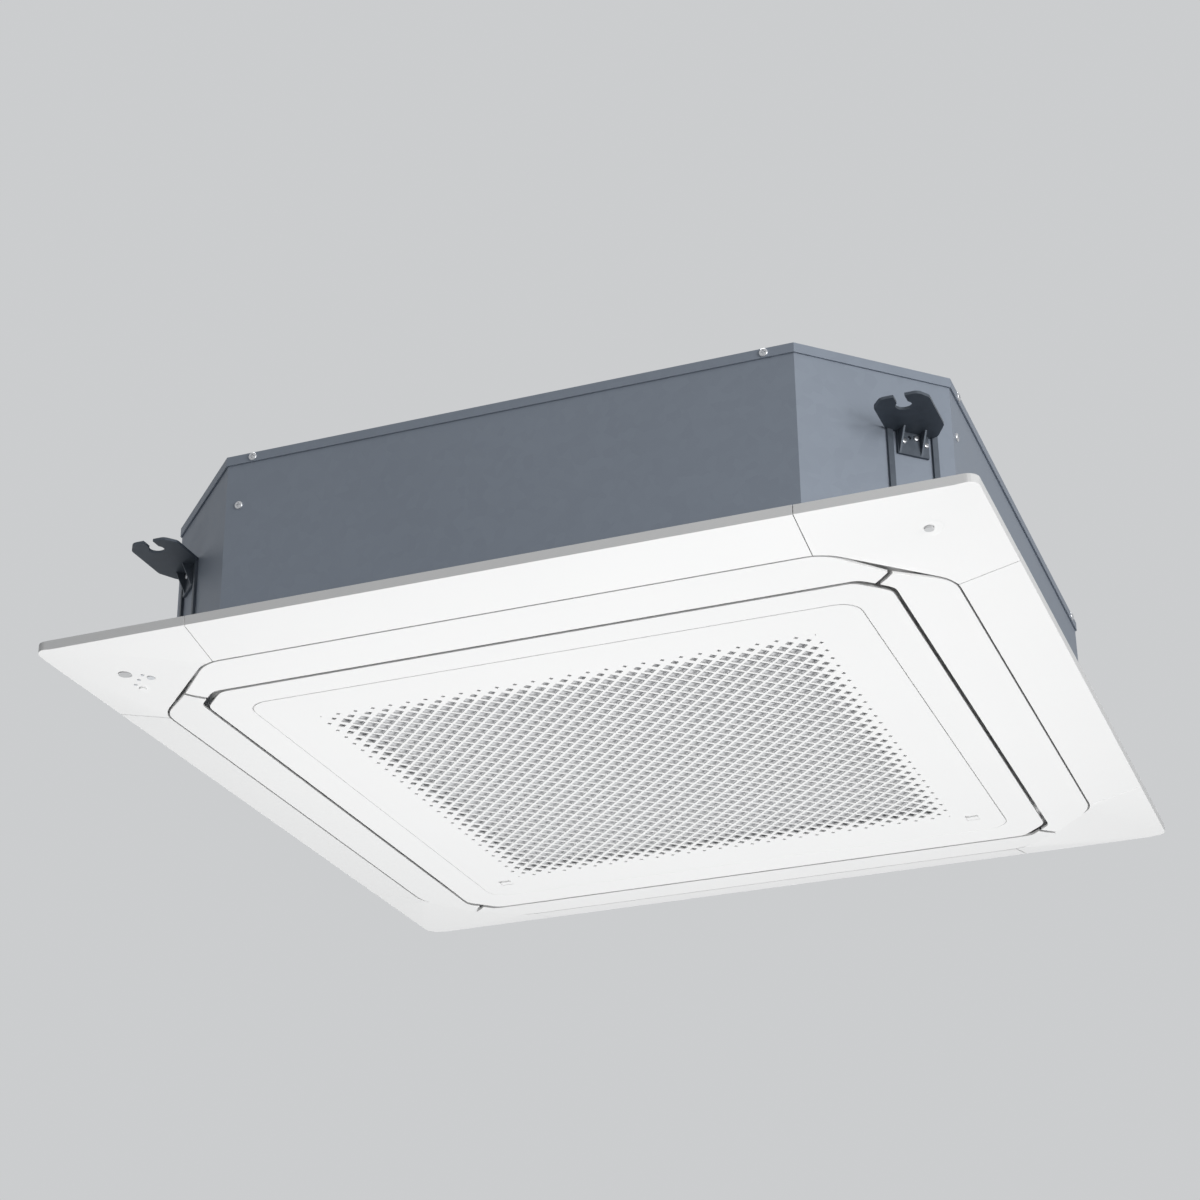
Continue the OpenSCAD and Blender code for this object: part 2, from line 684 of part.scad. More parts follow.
module fan_shroud() {
    line_in = inlet_r + shroud_t * 1.6;
    color([0.85, 0.85, 0.87]) set_frame() rotate_extrude($fn = 96) polygon([
        [inlet_r, fan_low], [inlet_r + shroud_t, fan_low],
        [inlet_r + shroud_t * 2.4, fan_low + shroud_in_h - shroud_t],
        [fan_r, fan_low + shroud_in_h + shroud_rise - shroud_t], [fan_r, fan_low + shroud_in_h + shroud_rise],
        [line_in, fan_low + shroud_in_h], [inlet_r, fan_low + shroud_in_h / 2]
    ]);
}
nut_h = 8;
nut_r = 9;
shaft_in = 24;
motor_low = dome_low + dome_gap;
module fan_nut() {
    color([0.8, 0.8, 0.8]) set_frame() translate([0, 0, boss_low - nut_h]) difference() {
        cylinder(r = nut_r, h = nut_h, $fn = 6);
        translate([0, 0, -over]) cylinder(r = shaft_r + run, h = nut_h + 2 * over);
    }
}
module motor_shaft() {
    color([0.7, 0.7, 0.72]) set_frame() translate([0, 0, boss_low - nut_h - over])
        cylinder(r = shaft_r, h = motor_low + shaft_in - fit - boss_low + nut_h + over);
}

// Fan motor, hung from the lid on three rubber mounts
ear_r = 9;
ear_t = 6;
ear_at = 86;
mount_h = 9;
mount_r = 7.5;
motor_top = lid_under_z - mount_h;
module motor_housing() {
    color([0.35, 0.36, 0.38]) set_frame() difference() {
        union() {
            translate([0, 0, motor_low]) cylinder(r = motor_r, h = motor_top - motor_low);
            for (a = [0, 120, 240]) rotate([0, 0, a]) {
                translate([ear_at, 0, motor_top - ear_t]) cylinder(r = ear_r, h = ear_t);
                translate([0, -ear_r, motor_top - ear_t]) cube([ear_at, 2 * ear_r, ear_t]);
            }
        }
        translate([0, 0, motor_low - over]) cylinder(r = shaft_r + run, h = shaft_in + over);
    }
}
module motor_mounts() {
    color([0.1, 0.1, 0.1]) set_frame() for (a = [0, 120, 240]) rotate([0, 0, a])
        translate([ear_at, 0, motor_top]) cylinder(r = mount_r, h = mount_h);
}

// Control box in the pan's recess beside the fan's inlet
box_h = 34;
box_cover_t = 1.5;
box_low = box_top - box_h;
board_t = 1.6;
board_drop = 8;
board_l = 178;
board_w = 70;
standoff_r = 3;
box_mid_y = -box_mid;
board_x = -30;
module box_posts() {
    for (sx = [-1, 1], sy = [-1, 1])
        translate([board_x, box_mid_y, box_top - sheet_t - board_drop])
            translate([sx * (board_l / 2 - 2 * standoff_r), sy * (board_w / 2 - 2 * standoff_r), 0])
                cylinder(r = standoff_r, h = board_drop + sheet_t / 2, $fn = 24);
}
module control_box() {
    color([0.7, 0.72, 0.74]) set_frame() {
        difference() {
            translate([-box_l / 2, -box_near - box_w, box_low]) cube([box_l, box_w, box_h]);
            translate([-box_l / 2 + sheet_t, -box_near - box_w + sheet_t, box_low - over])
                cube([box_l - 2 * sheet_t, box_w - 2 * sheet_t, box_h - sheet_t + over]);
        }
        box_posts();
    }
}
module control_box_cover() {
    color([0.7, 0.72, 0.74]) set_frame()
        translate([-box_l / 2, -box_near - box_w, box_low - box_cover_t]) cube([box_l, box_w, box_cover_t]);
}
module circuit_board() {
    z = box_top - sheet_t - board_drop - board_t;
    part_h = board_drop;
    part_l = board_l / 6;
    color([0.2, 0.45, 0.25]) set_frame() {
        translate([board_x - board_l / 2, box_mid_y - board_w / 2, z]) cube([board_l, board_w, board_t]);
        for (i = [0:3])
            translate([board_x - board_l / 2 + part_l * (i * 1.4 + 0.4), box_mid_y - part_l / 2, z - part_h])
            cube([part_l, part_l * (1 + i % 2) / 2, part_h + board_t / 2]);
    }
}
terminal_l = 46;
terminal_w = 56;
terminal_h = 18;
module terminal_block() {
    pole = terminal_w / 6;
    color([0.9, 0.9, 0.85]) set_frame() translate([board_x + board_l / 2 + pole, box_mid_y - terminal_w / 2,
        box_top - sheet_t - terminal_h]) difference() {
        cube([terminal_l, terminal_w, terminal_h]);
        for (i = [0:4]) translate([-over, pole * (i + 0.7), -over])
            cube([terminal_l / 2, pole * 0.6, terminal_h / 2 + over]);
    }
}

// Drain pump on the pan's top, its wheel in the pit, with the float beside it
pump_r = 25;
pump_gap = 6;
pump_top = drain_z - drain_body_r - pump_gap;
bell_r = 18;
bell_wall = 2.5;
bell_lift = 3;
bell_low = pit_z + bell_lift;
impeller_r = 12;
impeller_h = 8;
impeller_lift = 3;
impeller_low = bell_low + impeller_lift;
impeller_shaft_r = 2;
impeller_shaft_in = 20;
module pump_housing() {
    color([0.92, 0.92, 0.9]) set_frame() translate([pump_x, pump_y, 0]) difference() {
        union() {
            translate([0, 0, pan_top_h]) cylinder(r = pump_r, h = pump_top - pan_top_h);
            translate([0, 0, bell_low]) cylinder(r = bell_r, h = pan_top_h - bell_low + over);
        }
        translate([0, 0, bell_low - over]) cylinder(r = bell_r - bell_wall, h = pan_top_h - bell_low);
        translate([0, 0, bell_low])
            cylinder(r = impeller_shaft_r + run, h = pan_top_h - bell_low + impeller_shaft_in);
    }
}
module pump_impeller() {
    vane_t = 1.5;
    color([0.3, 0.4, 0.6]) set_frame() translate([pump_x, pump_y, impeller_low]) {
        cylinder(r = impeller_shaft_r, h = pan_top_h - impeller_low + impeller_shaft_in - over);
        cylinder(r = impeller_r, h = vane_t);
        for (a = [0:60:179]) rotate([0, 0, a]) translate([-impeller_r, -vane_t / 2, 0])
            cube([2 * impeller_r, vane_t, impeller_h]);
    }
}
stem_r = 3;
stem_top = 88;
float_r = 15;
float_h = 18;
float_lift = 3;
float_low = pit_z + float_lift;
cap_t = 8;
module float_guide() {
    color([0.9, 0.9, 0.88]) set_frame() translate([float_x, float_y, 0]) {
        translate([0, 0, pit_z]) cylinder(r = stem_r, h = stem_top - pit_z);
        translate([0, 0, stem_top - cap_t]) cylinder(r = float_r / 2, h = cap_t);
        translate([0, 0, pit_z]) cylinder(r = float_r / 2, h = float_low - pit_z - fit);
    }
}
module float() {
    color([0.2, 0.5, 0.8]) set_frame() translate([float_x, float_y, float_low]) difference() {
        cylinder(r = float_r, h = float_h);
        translate([0, 0, -over]) cylinder(r = stem_r + run, h = float_h + 2 * over);
    }
}

// Drain tube: a spigot for the hose, a thicker part through the wall that stops the hose, and a riser
drain_out = 46;
drain_stop_out = 6;
drain_wall = 2;
riser_r = 9;
module drain_tube() {
    inner_end = pump_x + riser_r + drain_wall;
    tube_l = inner_end + body_half + drain_out;
    riser_h = drain_z - pump_top;
    color([0.85, 0.85, 0.85]) set_frame() difference() {
        union() {
            translate([-body_half - drain_out, drain_y, drain_z]) along_x(drain_r, drain_out);
            translate([-body_half - drain_stop_out, drain_y, drain_z])
                along_x(drain_body_r, inner_end + body_half + drain_stop_out);
            translate([pump_x, pump_y, pump_top]) cylinder(r = riser_r, h = riser_h);
        }
        translate([-body_half - drain_out - over, drain_y, drain_z])
            along_x(drain_r - drain_wall, tube_l - drain_wall);
        translate([pump_x, pump_y, pump_top - over]) cylinder(r = riser_r - drain_wall, h = riser_h);
    }
}

// Cable gland: a flange and a nose outside that grip the cable, and a wider sleeve through the wall
gland_bore_r = 6;
gland_room_r = 9;
gland_flange_r = 19;
gland_flange_t = 4;
gland_nose_r = 11;
gland_nose_l = 12;
gland_in = 30;
module cable_gland() {
    color([0.12, 0.12, 0.12]) set_frame() translate([body_half, gland_y, gland_z]) difference() {
        union() {
            along_x(gland_flange_r, gland_flange_t);
            along_x(gland_nose_r, gland_flange_t + gland_nose_l);
            translate([-gland_in, 0, 0]) along_x(gland_r - fit, gland_in + over);
        }
        translate([-gland_in - over, 0, 0]) along_x(gland_room_r, gland_in + 2 * over);
        along_x(gland_bore_r, gland_flange_t + gland_nose_l + over);
    }
}

// Panel frame: the four sloping sides, the base plate with its air slots, the ducts and the hinge blocks
frame_wall_low = -outer_depth + skin / 2;
slot_out = 394;
access_r = 20;
tab_x = corner_mid + (tab_out / 2 + leg_shift) / diag;
tab_y = corner_mid + (tab_out / 2 - leg_shift) / diag;
panel_screw_r = 2.5;
panel_head_r = 6;
panel_head_h = 3;
opening_lift = 4;
opening_top = -inner_depth + opening_lift;
hinge_notch_h = hinge_z + hinge_nose_r - opening_top + 2 * over;
function base_path(h) = rounded(square_path(h), panel_corner_r - skin, 6);
function opening_path(t) = cut_square(opening_half + t, grown_cut(opening_cut, t));
module panel_skin() {
    difference() {
        panel_form(0);
        panel_form(skin);
        plate(ring_path(groove_half), -inner_depth - over, inner_depth + 3 * over);
    }
}
module flap_bearing() {
    x = lug_at + lug_t / 2 + 2 * run + over;
    translate([-x - bearing_w, -flap_pivot_at, flap_pivot_z]) difference() {
        union() {
            along_x(bearing_r, bearing_w);
            translate([0, -bearing_r, 0])
                cube([bearing_w, 2 * bearing_r, -base_t / 2 - base_step - flap_pivot_z]);
        }
        translate([-over, 0, 0]) along_x(flap_pin_r + run, bearing_w + 2 * over);
    }
}
module grille_bearing(s) {
    mirror([s < 0 ? 1 : 0, 0, 0])
        translate([hinge_x + hinge_lug_t / 2 + over, -hinge_at, hinge_z]) difference() {
            union() {
                along_x(hinge_nose_r, hinge_pin_l);
                translate([0, -hinge_nose_r, 0])
                    cube([hinge_pin_l, 2 * hinge_nose_r, -base_t / 2 - base_step - hinge_z]);
            }
            translate([-over, 0, 0]) along_x(grille_pin_r + run, hinge_pin_l + 2 * over);
        }
}
latch_x = 287;
latch_y = 282;
latch_w = 18;
latch_notch_gap = 2;
latch_notch_h = 6;
module panel_frame() {
    color([0.93, 0.93, 0.92]) set_frame() difference() {
        union() {
            difference() {
                panel_skin();
                at_corners() cover_square(-seam_w / 2);
            }
            difference() {
                union() {
                    plate(base_path(base_half - fit), -base_t, base_t);
                    for (k = [0:3]) to_side(k)
                        translate([-seam_at + seam_w, -base_half - over, -base_t])
                            cube([2 * (seam_at - seam_w), seat_w / 2, base_t]);
                }
                plate(base_path(seat_in_half), -base_step, base_t);
                plate(opening_path(0), -base_t - over, base_t + 2 * over);
                for (k = [0:3]) to_side(k)
                    translate([-outlet_l / 2, -slot_out, -base_t - over])
                        cube([outlet_l, slot_out - outlet_in, base_t + 2 * over]);
                at_corners() {
                    translate([rod_x, rod_y, -base_t - over]) cylinder(r = access_r, h = base_t + 2 * over);
                    translate([tab_x, tab_y, -base_t - over]) cylinder(r = tab_hole_r, h = base_t + 2 * over);
                }
            }
            difference() {
                plate(ring_path(groove_half + wall_t), frame_wall_low, -base_step - frame_wall_low);
                plate(ring_path(groove_half), frame_wall_low - over, outer_depth + over);
                at_corners() {
                    translate([0, 0, -outer_depth + skin + fit]) mirror([0, 0, 1]) cover_square(-seam_w / 2);
                    translate([tab_x, tab_y, -outer_depth + skin])
                        cylinder(r = panel_head_r + fit, h = outer_depth);
                }
            }
            difference() {
                plate(opening_path(wall_t), opening_top, -base_step - opening_top);
                plate(opening_path(0), opening_top - over, inner_depth + over);
                for (s = [-1, 1]) translate([s * latch_x, opening_half - over, opening_top - over])
                    translate([-latch_w / 2 - latch_notch_gap, 0, 0])
                        cube([latch_w + 2 * latch_notch_gap, wall_t + 2 * over, latch_notch_h + over]);
                for (s = [-1, 1]) translate([s * hinge_x, -opening_half - wall_t - over, opening_top - over])
                    translate([-hinge_lug_t / 2 - over, 0, 0])
                        cube([hinge_lug_t + 2 * over, wall_t + 2 * over, hinge_notch_h]);
            }
            for (k = [0:3]) to_side(k) {
                translate([-outlet_l / 2 - outlet_end_t, -outlet_in, -duct_depth])
                    cube([outlet_l + 2 * outlet_end_t, wall_t, duct_depth - base_step]);
                for (s = [-1, 1]) translate([s * (outlet_l + outlet_end_t) / 2, 0, -duct_depth])
                    translate([-outlet_end_t / 2, -ring_edge - over, 0])
                        cube([outlet_end_t, ring_edge + over - outlet_in, duct_depth - base_step]);
                flap_bearing();
            }
            for (s = [-1, 1]) grille_bearing(s);
        }
    }
}
gasket_w = 18;
module panel_gasket() {
    color([0.2, 0.2, 0.2]) set_frame() difference() {
        plate(cut_square(inside_half, grown_cut(body_cut, -sheet_t)), -base_step, casing_z + base_step);
        plate(cut_square(inside_half - gasket_w, grown_cut(body_cut, -sheet_t - gasket_w)),
            -base_step - over, casing_z + base_step + 2 * over);
    }
}
module panel_screws() {
    color([0.8, 0.8, 0.8]) set_frame() at_corners() translate([tab_x, tab_y, 0]) {
        translate([0, 0, -base_t - panel_head_h]) cylinder(r = panel_head_r, h = panel_head_h);
        translate([0, 0, -base_t])
            cylinder(r = panel_screw_r, h = base_t + tab_z + bracket_t + over, $fn = 32);
    }
}

// Corner covers: three sloping facets and the rim round each corner of the panel
module corner_cover() {
    intersection() {
        panel_skin();
        cover_square(seam_w / 2);
    }
}
// Frame on the diagonal of a corner: X runs along it, the origin is at distance w from the middle
module on_diagonal(w, s) { rotate([0, 0, 45]) translate([w, -s, 0]) children(); }

// Receiver on the front left cover: distances in from the panel's corner and beside the diagonal
window_in = 92.75;
lamp_in = 108.25;
lamp_pitch = 13;
lamp_shift = 4.5;
lamp_r = 1.6;
button_in = 117.25;
button_shift = 21.5;
beeper_shift = -7.5;
window_at = [corner_w - window_in, 0];
button_at = [corner_w - button_in, button_shift];
beeper_at = [corner_w - button_in, beeper_shift];
lamp_row = corner_w - lamp_in;
receiver_board_w = 40;
receiver_board_l = 64;
receiver_board_in = 106.75;
receiver_board_at = corner_w - receiver_board_in;
receiver_board_gap = 3.2;
receiver_board_z = corner_z(receiver_board_at + receiver_board_w / 2) + skin + receiver_board_gap;
post_r = 2.5;
module receiver_holes(gap) {
    h = outer_depth;
    on_diagonal(window_at[0], window_at[1]) translate([0, 0, -h]) cylinder(r = window_r + gap, h = h);
    for (i = [-1:1]) on_diagonal(lamp_row, lamp_shift + i * lamp_pitch) translate([0, 0, -h])
        cylinder(r = lamp_r + gap, h = h, $fn = 24);
    on_diagonal(beeper_at[0], beeper_at[1]) translate([0, 0, -h])
        cylinder(r = button_r + gap, h = h, $fn = 32);
    on_diagonal(button_at[0], button_at[1]) translate([0, 0, -h])
        cylinder(r = button_r + run, h = h, $fn = 32);
}
module front_left_cover() {
    color([0.95, 0.95, 0.94]) set_frame() to_corner(-1, -1) difference() {
        union() {
            corner_cover();
            for (s = [-1, 1], w = [-1, 1]) {
                at = receiver_board_at + w * (receiver_board_w / 2 - post_r);
                low = corner_z(at) + skin / 2;
                on_diagonal(at, s * (receiver_board_l / 2 - post_r)) translate([0, 0, low])
                    cylinder(r = post_r, h = receiver_board_z - low, $fn = 24);
            }
        }
        receiver_holes(fit);
    }
}
sensor_in = 83.25;
sensor_at = corner_w - sensor_in;
sensor_boss_h = 4.9;
sensor_boss_z = corner_z(sensor_at) + sensor_boss_h;
sensor_flange_r = 9;
sensor_flange_t = 2;
module front_right_cover() {
    color([0.95, 0.95, 0.94]) set_frame() to_corner(1, -1) difference() {
        union() {
            corner_cover();
            on_diagonal(sensor_at, 0) translate([0, 0, corner_z(sensor_at) + skin / 2])
                cylinder(r = sensor_flange_r + over, h = sensor_boss_z - corner_z(sensor_at) - skin / 2);
        }
        on_diagonal(sensor_at, 0) translate([0, 0, -outer_depth])
            cylinder(r = sensor_r + fit, h = outer_depth);
    }
}
module back_left_cover() { color([0.95, 0.95, 0.94]) set_frame() to_corner(-1, 1) corner_cover(); }
module back_right_cover() { color([0.95, 0.95, 0.94]) set_frame() to_corner(1, 1) corner_cover(); }

lens_proud = 0.6;
module stem_at(p, r, top, proud, n = 48) {
    z = corner_z(p[0]) - proud;
    on_diagonal(p[0], p[1]) translate([0, 0, z]) cylinder(r = r, h = top - z, $fn = n);
}
module receiver_board() {
    color([0.2, 0.45, 0.25]) set_frame() to_corner(-1, -1) on_diagonal(receiver_board_at, 0)
        translate([-receiver_board_w / 2, -receiver_board_l / 2, receiver_board_z])
            cube([receiver_board_w, receiver_board_l, board_t]);
}
module receiver_window() {
    color([0.15, 0.1, 0.12]) set_frame() to_corner(-1, -1)
        stem_at(window_at, window_r, receiver_board_z, lens_proud);
}
module receiver_lamps() {
    color([0.3, 0.6, 0.3]) set_frame() to_corner(-1, -1) {
        for (i = [-1:1])
            stem_at([lamp_row, lamp_shift + i * lamp_pitch], lamp_r, receiver_board_z, lens_proud, 24);
        stem_at(beeper_at, button_r, receiver_board_z, lens_proud, 32);
    }
}
button_proud = 1.4;
collar_gap = 1.2;
module receiver_button() {
    collar_low = corner_z(button_at[0]) + skin + collar_gap;
    color([0.9, 0.9, 0.9]) set_frame() to_corner(-1, -1) {
        stem_at(button_at, button_r, receiver_board_z - button_travel - fit, button_proud, 32);
        on_diagonal(button_at[0], button_at[1]) translate([0, 0, collar_low])
            cylinder(r = button_r + over, h = receiver_board_z - button_travel - fit - collar_low, $fn = 32);
    }
}
module room_sensor() {
    color([0.1, 0.1, 0.1]) set_frame() to_corner(1, -1) {
        stem_at([sensor_at, 0], sensor_r, sensor_boss_z + over, button_proud);
        on_diagonal(sensor_at, 0) translate([0, 0, sensor_boss_z])
            cylinder(r = sensor_flange_r, h = sensor_flange_t);
    }
}

// Flap: a quarter of the sloping ring, mitred at its ends, with a lug and pin at each end
module flap(k) {
    mitre = mitre_gap / 2 * diag;
    color([0.97, 0.97, 0.97]) set_frame() to_side(k) {
        intersection() {
            translate([0, 0, -inner_depth - over]) linear_extrude(inner_depth) difference() {
                polygon(ring_path(groove_half - outer_gap));
                polygon(flap_path());
            }
            translate([0, 0, -inner_depth - over]) linear_extrude(inner_depth)
                polygon([[0, -mitre], [-outer_half, -outer_half - mitre], [outer_half, -outer_half - mitre]]);
            slice_bar([
                [-outer_half, -outer_depth], [-inner_half, -inner_depth], [-inner_half / 2, -inner_depth],
                [-inner_half / 2, -inner_depth + flap_t], [-inner_half, -inner_depth + flap_t],
                [-outer_half, -outer_depth + flap_t]
            ]);
        }
        for (s = [-1, 1]) mirror([s < 0 ? 1 : 0, 0, 0]) translate([lug_at - lug_t / 2, -flap_pivot_at, 0]) {
            translate([0, 0, flap_pivot_z]) along_x(lug_r, lug_t);
            translate([0, -lug_r, -inner_depth + flap_t])
                cube([lug_t, 2 * lug_r, flap_pivot_z + inner_depth - flap_t]);
            translate([lug_t, 0, flap_pivot_z]) along_x(flap_pin_r, flap_pin_l);
        }
    }
}
module front_flap() { flap(0); }
module right_flap() { flap(1); }
module back_flap() { flap(2); }
module left_flap() { flap(3); }

// Stepping motors that turn the flaps, each with its shaft below its middle and an ear up to the base plate
flap_motor_l = 20;
ear_w = 20;
motor_ear_t = 2;
shaft_shift_share = 0.4;
module flap_motors() {
    x = lug_at + lug_t / 2 + over;
    rise = flap_motor_r - bearing_r;
    shift = rise * shaft_shift_share;
    ear_low = rise + flap_motor_r / 2;
    color([0.75, 0.75, 0.78]) set_frame() for (k = [0:3]) to_side(k)
        translate([x, -flap_pivot_at, flap_pivot_z]) difference() {
            union() {
                translate([0, -shift, rise]) along_x(flap_motor_r, flap_motor_l);
                translate([flap_motor_l - motor_ear_t, -shift - ear_w / 2, ear_low])
                    cube([motor_ear_t, ear_w, -base_t - flap_pivot_z - ear_low]);
            }
            translate([-over, 0, 0]) along_x(flap_pin_r + run, flap_pin_l + over);
        }
}

// Grille frame: the flat ring round the perforated plate, with a lip behind it and two hinge pins
plate_half = plate_w / 2;
plate_corner_r = 22;
lip_out = 6;
lip_in = 9;
lip_h = 2.5;
module grille_frame() {
    color([0.97, 0.97, 0.97]) set_frame() {
        translate([0, 0, -inner_depth]) linear_extrude(grille_t) difference() {
            polygon(grille_path(-groove_half));
            polygon(rounded(square_path(plate_half + fit), plate_corner_r, 6));
        }
        translate([0, 0, grille_top]) linear_extrude(lip_h) difference() {
            polygon(rounded(square_path(plate_half + lip_out), plate_corner_r + lip_out, 6));
            polygon(rounded(square_path(plate_half - lip_in), plate_corner_r - lip_in, 6));
        }
        for (s = [-1, 1]) mirror([s < 0 ? 1 : 0, 0, 0])
            translate([hinge_x - hinge_lug_t / 2, -hinge_at, hinge_z]) {
            along_x(hinge_nose_r - fit, hinge_lug_t);
            translate([0, -hinge_nose_r + fit, grille_top - hinge_z - fit])
                cube([hinge_lug_t, 2 * (hinge_nose_r - fit), hinge_z - grille_top + fit]);
            translate([hinge_lug_t, 0, 0]) along_x(grille_pin_r, hinge_pin_l);
        }
    }
}

// Perforated plate: rows of diamond holes, smaller along the field's edge, and two finger slots
knob_w = 14;
knob_l = 8;
latch_travel = 6;
function hole_step() = hole_pitch / 2;
function hole_rows() = floor((field_w / 2 - hole_step() * hole_share) / hole_step());
edge_shares = [0.5, 0.8, 1];
function edge_share(i, j, n) = edge_shares[min(2, n - max(abs(i), abs(j)))];
corner_skip = 4;
module finger_slot(gap) {
    for (s = [-1, 1]) translate([s * latch_x, latch_y - knob_l / 2 - latch_travel - gap, -inner_depth - over])
        translate([-knob_w / 2 - gap, 0, 0])
            cube([knob_w + 2 * gap, knob_l + latch_travel + 2 * gap, grille_t + 2 * over]);
}
module perforated_plate() {
    n = hole_rows();
    r = hole_step() * hole_share;
    color([0.97, 0.97, 0.97]) set_frame() difference() {
        plate(rounded(square_path(plate_half), plate_corner_r, 6), -inner_depth, grille_t);
        translate([0, 0, -inner_depth - over]) linear_extrude(grille_t + 2 * over)
            for (i = [-n:n], j = [-n:n])
                if ((i + j) % 2 == 0 && abs(i) + abs(j) <= 2 * n - corner_skip)
                    translate([i * hole_step(), j * hole_step()]) circle(r = r * edge_share(i, j, n), $fn = 4);
        finger_slot(fit);
    }
}

// Filter: a frame with two cross bars over the perforated plate, and its mesh
filter_bar = 10;
filter_h = 7;
filter_half = filter_w / 2;
mesh_t = 0.6;
mesh_drop = 4;
module filter_frame() {
    inner = filter_half - filter_bar;
    color([0.25, 0.27, 0.3]) set_frame() translate([0, 0, grille_top]) {
        difference() {
            plate(square_path(filter_half), 0, filter_h);
            plate(square_path(inner), -over, filter_h + 2 * over);
        }
        for (s = [-1, 1], a = [0, 90]) rotate([0, 0, a])
            translate([s * inner / 3 - filter_bar / 2, -inner - over, mesh_drop])
                cube([filter_bar, 2 * (inner + over), filter_h - mesh_drop]);
    }
}
module filter_mesh() {
    color([0.15, 0.15, 0.17]) set_frame()
        plate(square_path(filter_half - filter_bar - fit), grille_top + mesh_drop - mesh_t, mesh_t);
}

// Latches: sliding tongues behind the plate with a finger pad in the slot
latch_t = 3;
tongue_reach = 2;
latch_back = 14;
module latch(s) {
    pad_low = -inner_depth + fit;
    body_low = grille_top + lip_h + fit;
    front_y = latch_y - latch_back;
    color([0.9, 0.9, 0.9]) set_frame() translate([s * latch_x, 0, 0]) {
        translate([-knob_w / 2, latch_y - knob_l / 2, pad_low]) cube([knob_w, knob_l, body_low - pad_low]);
        translate([-latch_w / 2, front_y, body_low])
            cube([latch_w, opening_half + tongue_reach - front_y, latch_t]);
        translate([-latch_w / 2, front_y, grille_top + fit])
            cube([latch_w, plate_half - lip_in - over - front_y - latch_back, body_low - grille_top]);
    }
}
module left_latch() { latch(-1); }
module right_latch() { latch(1); }

outer_casing();
lid();
casing_screws();
front_left_bracket();
front_right_bracket();
back_left_bracket();
back_right_bracket();
bracket_screws();
foam_lining();
coil_fins();
coil_end_plates();
coil_bends();
coil_headers();
drain_pan();
inlet_ring();
fan_hub();
fan_shroud();
fan_nut();
motor_shaft();
motor_housing();
motor_mounts();
control_box();
control_box_cover();
circuit_board();
terminal_block();
pump_housing();
pump_impeller();
float_guide();
float();
drain_tube();
gas_pipe();
liquid_pipe();
flare_nuts();
pipe_plate();
cable_gland();
panel_frame();
panel_gasket();
panel_screws();
front_left_cover();
front_right_cover();
back_left_cover();
back_right_cover();
front_flap();
right_flap();
back_flap();
left_flap();
flap_motors();
grille_frame();
perforated_plate();
filter_frame();
filter_mesh();
left_latch();
right_latch();
receiver_board();
receiver_window();
receiver_lamps();
receiver_button();
room_sensor();
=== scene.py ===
# %% [markdown]
# A ceiling cassette air conditioner hangs in a hole in the ceiling. Only its square
# panel shows in a room; here it is seen from below with its steel body too. The fixed
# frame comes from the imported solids. This lesson dresses them: it rounds their edges,
# adds the small parts that solids leave plain, and gives every piece its finish.

# %% Load the frame
import bpy, bmesh, math
from mathutils import Matrix, Vector


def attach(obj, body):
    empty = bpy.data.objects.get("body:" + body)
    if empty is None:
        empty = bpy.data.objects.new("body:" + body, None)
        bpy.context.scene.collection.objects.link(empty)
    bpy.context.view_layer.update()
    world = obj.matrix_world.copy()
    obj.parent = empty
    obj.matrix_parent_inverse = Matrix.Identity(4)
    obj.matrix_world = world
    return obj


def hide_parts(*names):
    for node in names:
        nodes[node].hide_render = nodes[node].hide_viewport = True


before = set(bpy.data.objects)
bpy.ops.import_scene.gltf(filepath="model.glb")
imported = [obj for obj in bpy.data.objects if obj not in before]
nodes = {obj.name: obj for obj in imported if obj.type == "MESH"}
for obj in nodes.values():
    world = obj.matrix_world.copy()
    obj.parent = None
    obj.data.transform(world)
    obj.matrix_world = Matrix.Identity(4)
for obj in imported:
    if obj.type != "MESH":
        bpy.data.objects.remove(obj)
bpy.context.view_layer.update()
unit = "unit"
corners = ("front_left", "front_right", "back_left", "back_right")
covers = [corner + "_cover" for corner in corners]
brackets = [corner + "_bracket" for corner in corners]
flaps = ["front_flap", "right_flap", "back_flap", "left_flap"]

# %% [markdown]
# Every operator acts on what is selected, so each step first clears the selection and
# then picks one object. A finished piece keeps its place in its mesh.

# %% Small helpers for picking and finishing
def pick(piece):
    if bpy.context.object and bpy.context.object.mode != "OBJECT":
        bpy.ops.object.mode_set(mode="OBJECT")
    bpy.ops.object.select_all(action="DESELECT")
    piece.select_set(True)
    bpy.context.view_layer.objects.active = piece


def settle(piece, name):
    """Names a piece and moves its place, turn and size into its mesh."""
    pick(piece)
    bpy.ops.object.transform_apply(location=True, rotation=True, scale=True)
    piece.name = name
    piece.data.name = name
    return piece


def apply_all(piece):
    pick(piece)
    for modifier in list(piece.modifiers):
        bpy.ops.object.modifier_apply(modifier=modifier.name)


def join(pieces, name):
    pick(pieces[0])
    for piece in pieces:
        piece.select_set(True)
    bpy.ops.object.join()
    return settle(bpy.context.object, name)


def smooth(piece, degrees):
    pick(piece)
    bpy.ops.object.shade_smooth_by_angle(angle=math.radians(degrees))


def facing(place, outwards):
    """A matrix that stands a thing at a place with its top facing outwards."""
    return Matrix.Translation(place) @ Vector(outwards).to_track_quat("Z", "Y").to_matrix().to_4x4()


mm = 0.001
ceiling = -128 * mm
print("ceiling plane at", ceiling)

# %% [markdown]
# A moulded or folded edge is never knife sharp. A copy of a solid is merged, its flat
# faces are joined up again, and a narrow bevel rounds every edge that turns by more
# than thirty degrees. The light then catches the edges as it does on the real thing.

# %% Round the edges of a solid's copy
merge_within = 0.01 * mm
flat_turn = math.radians(0.4)
edge_turn = math.radians(30)


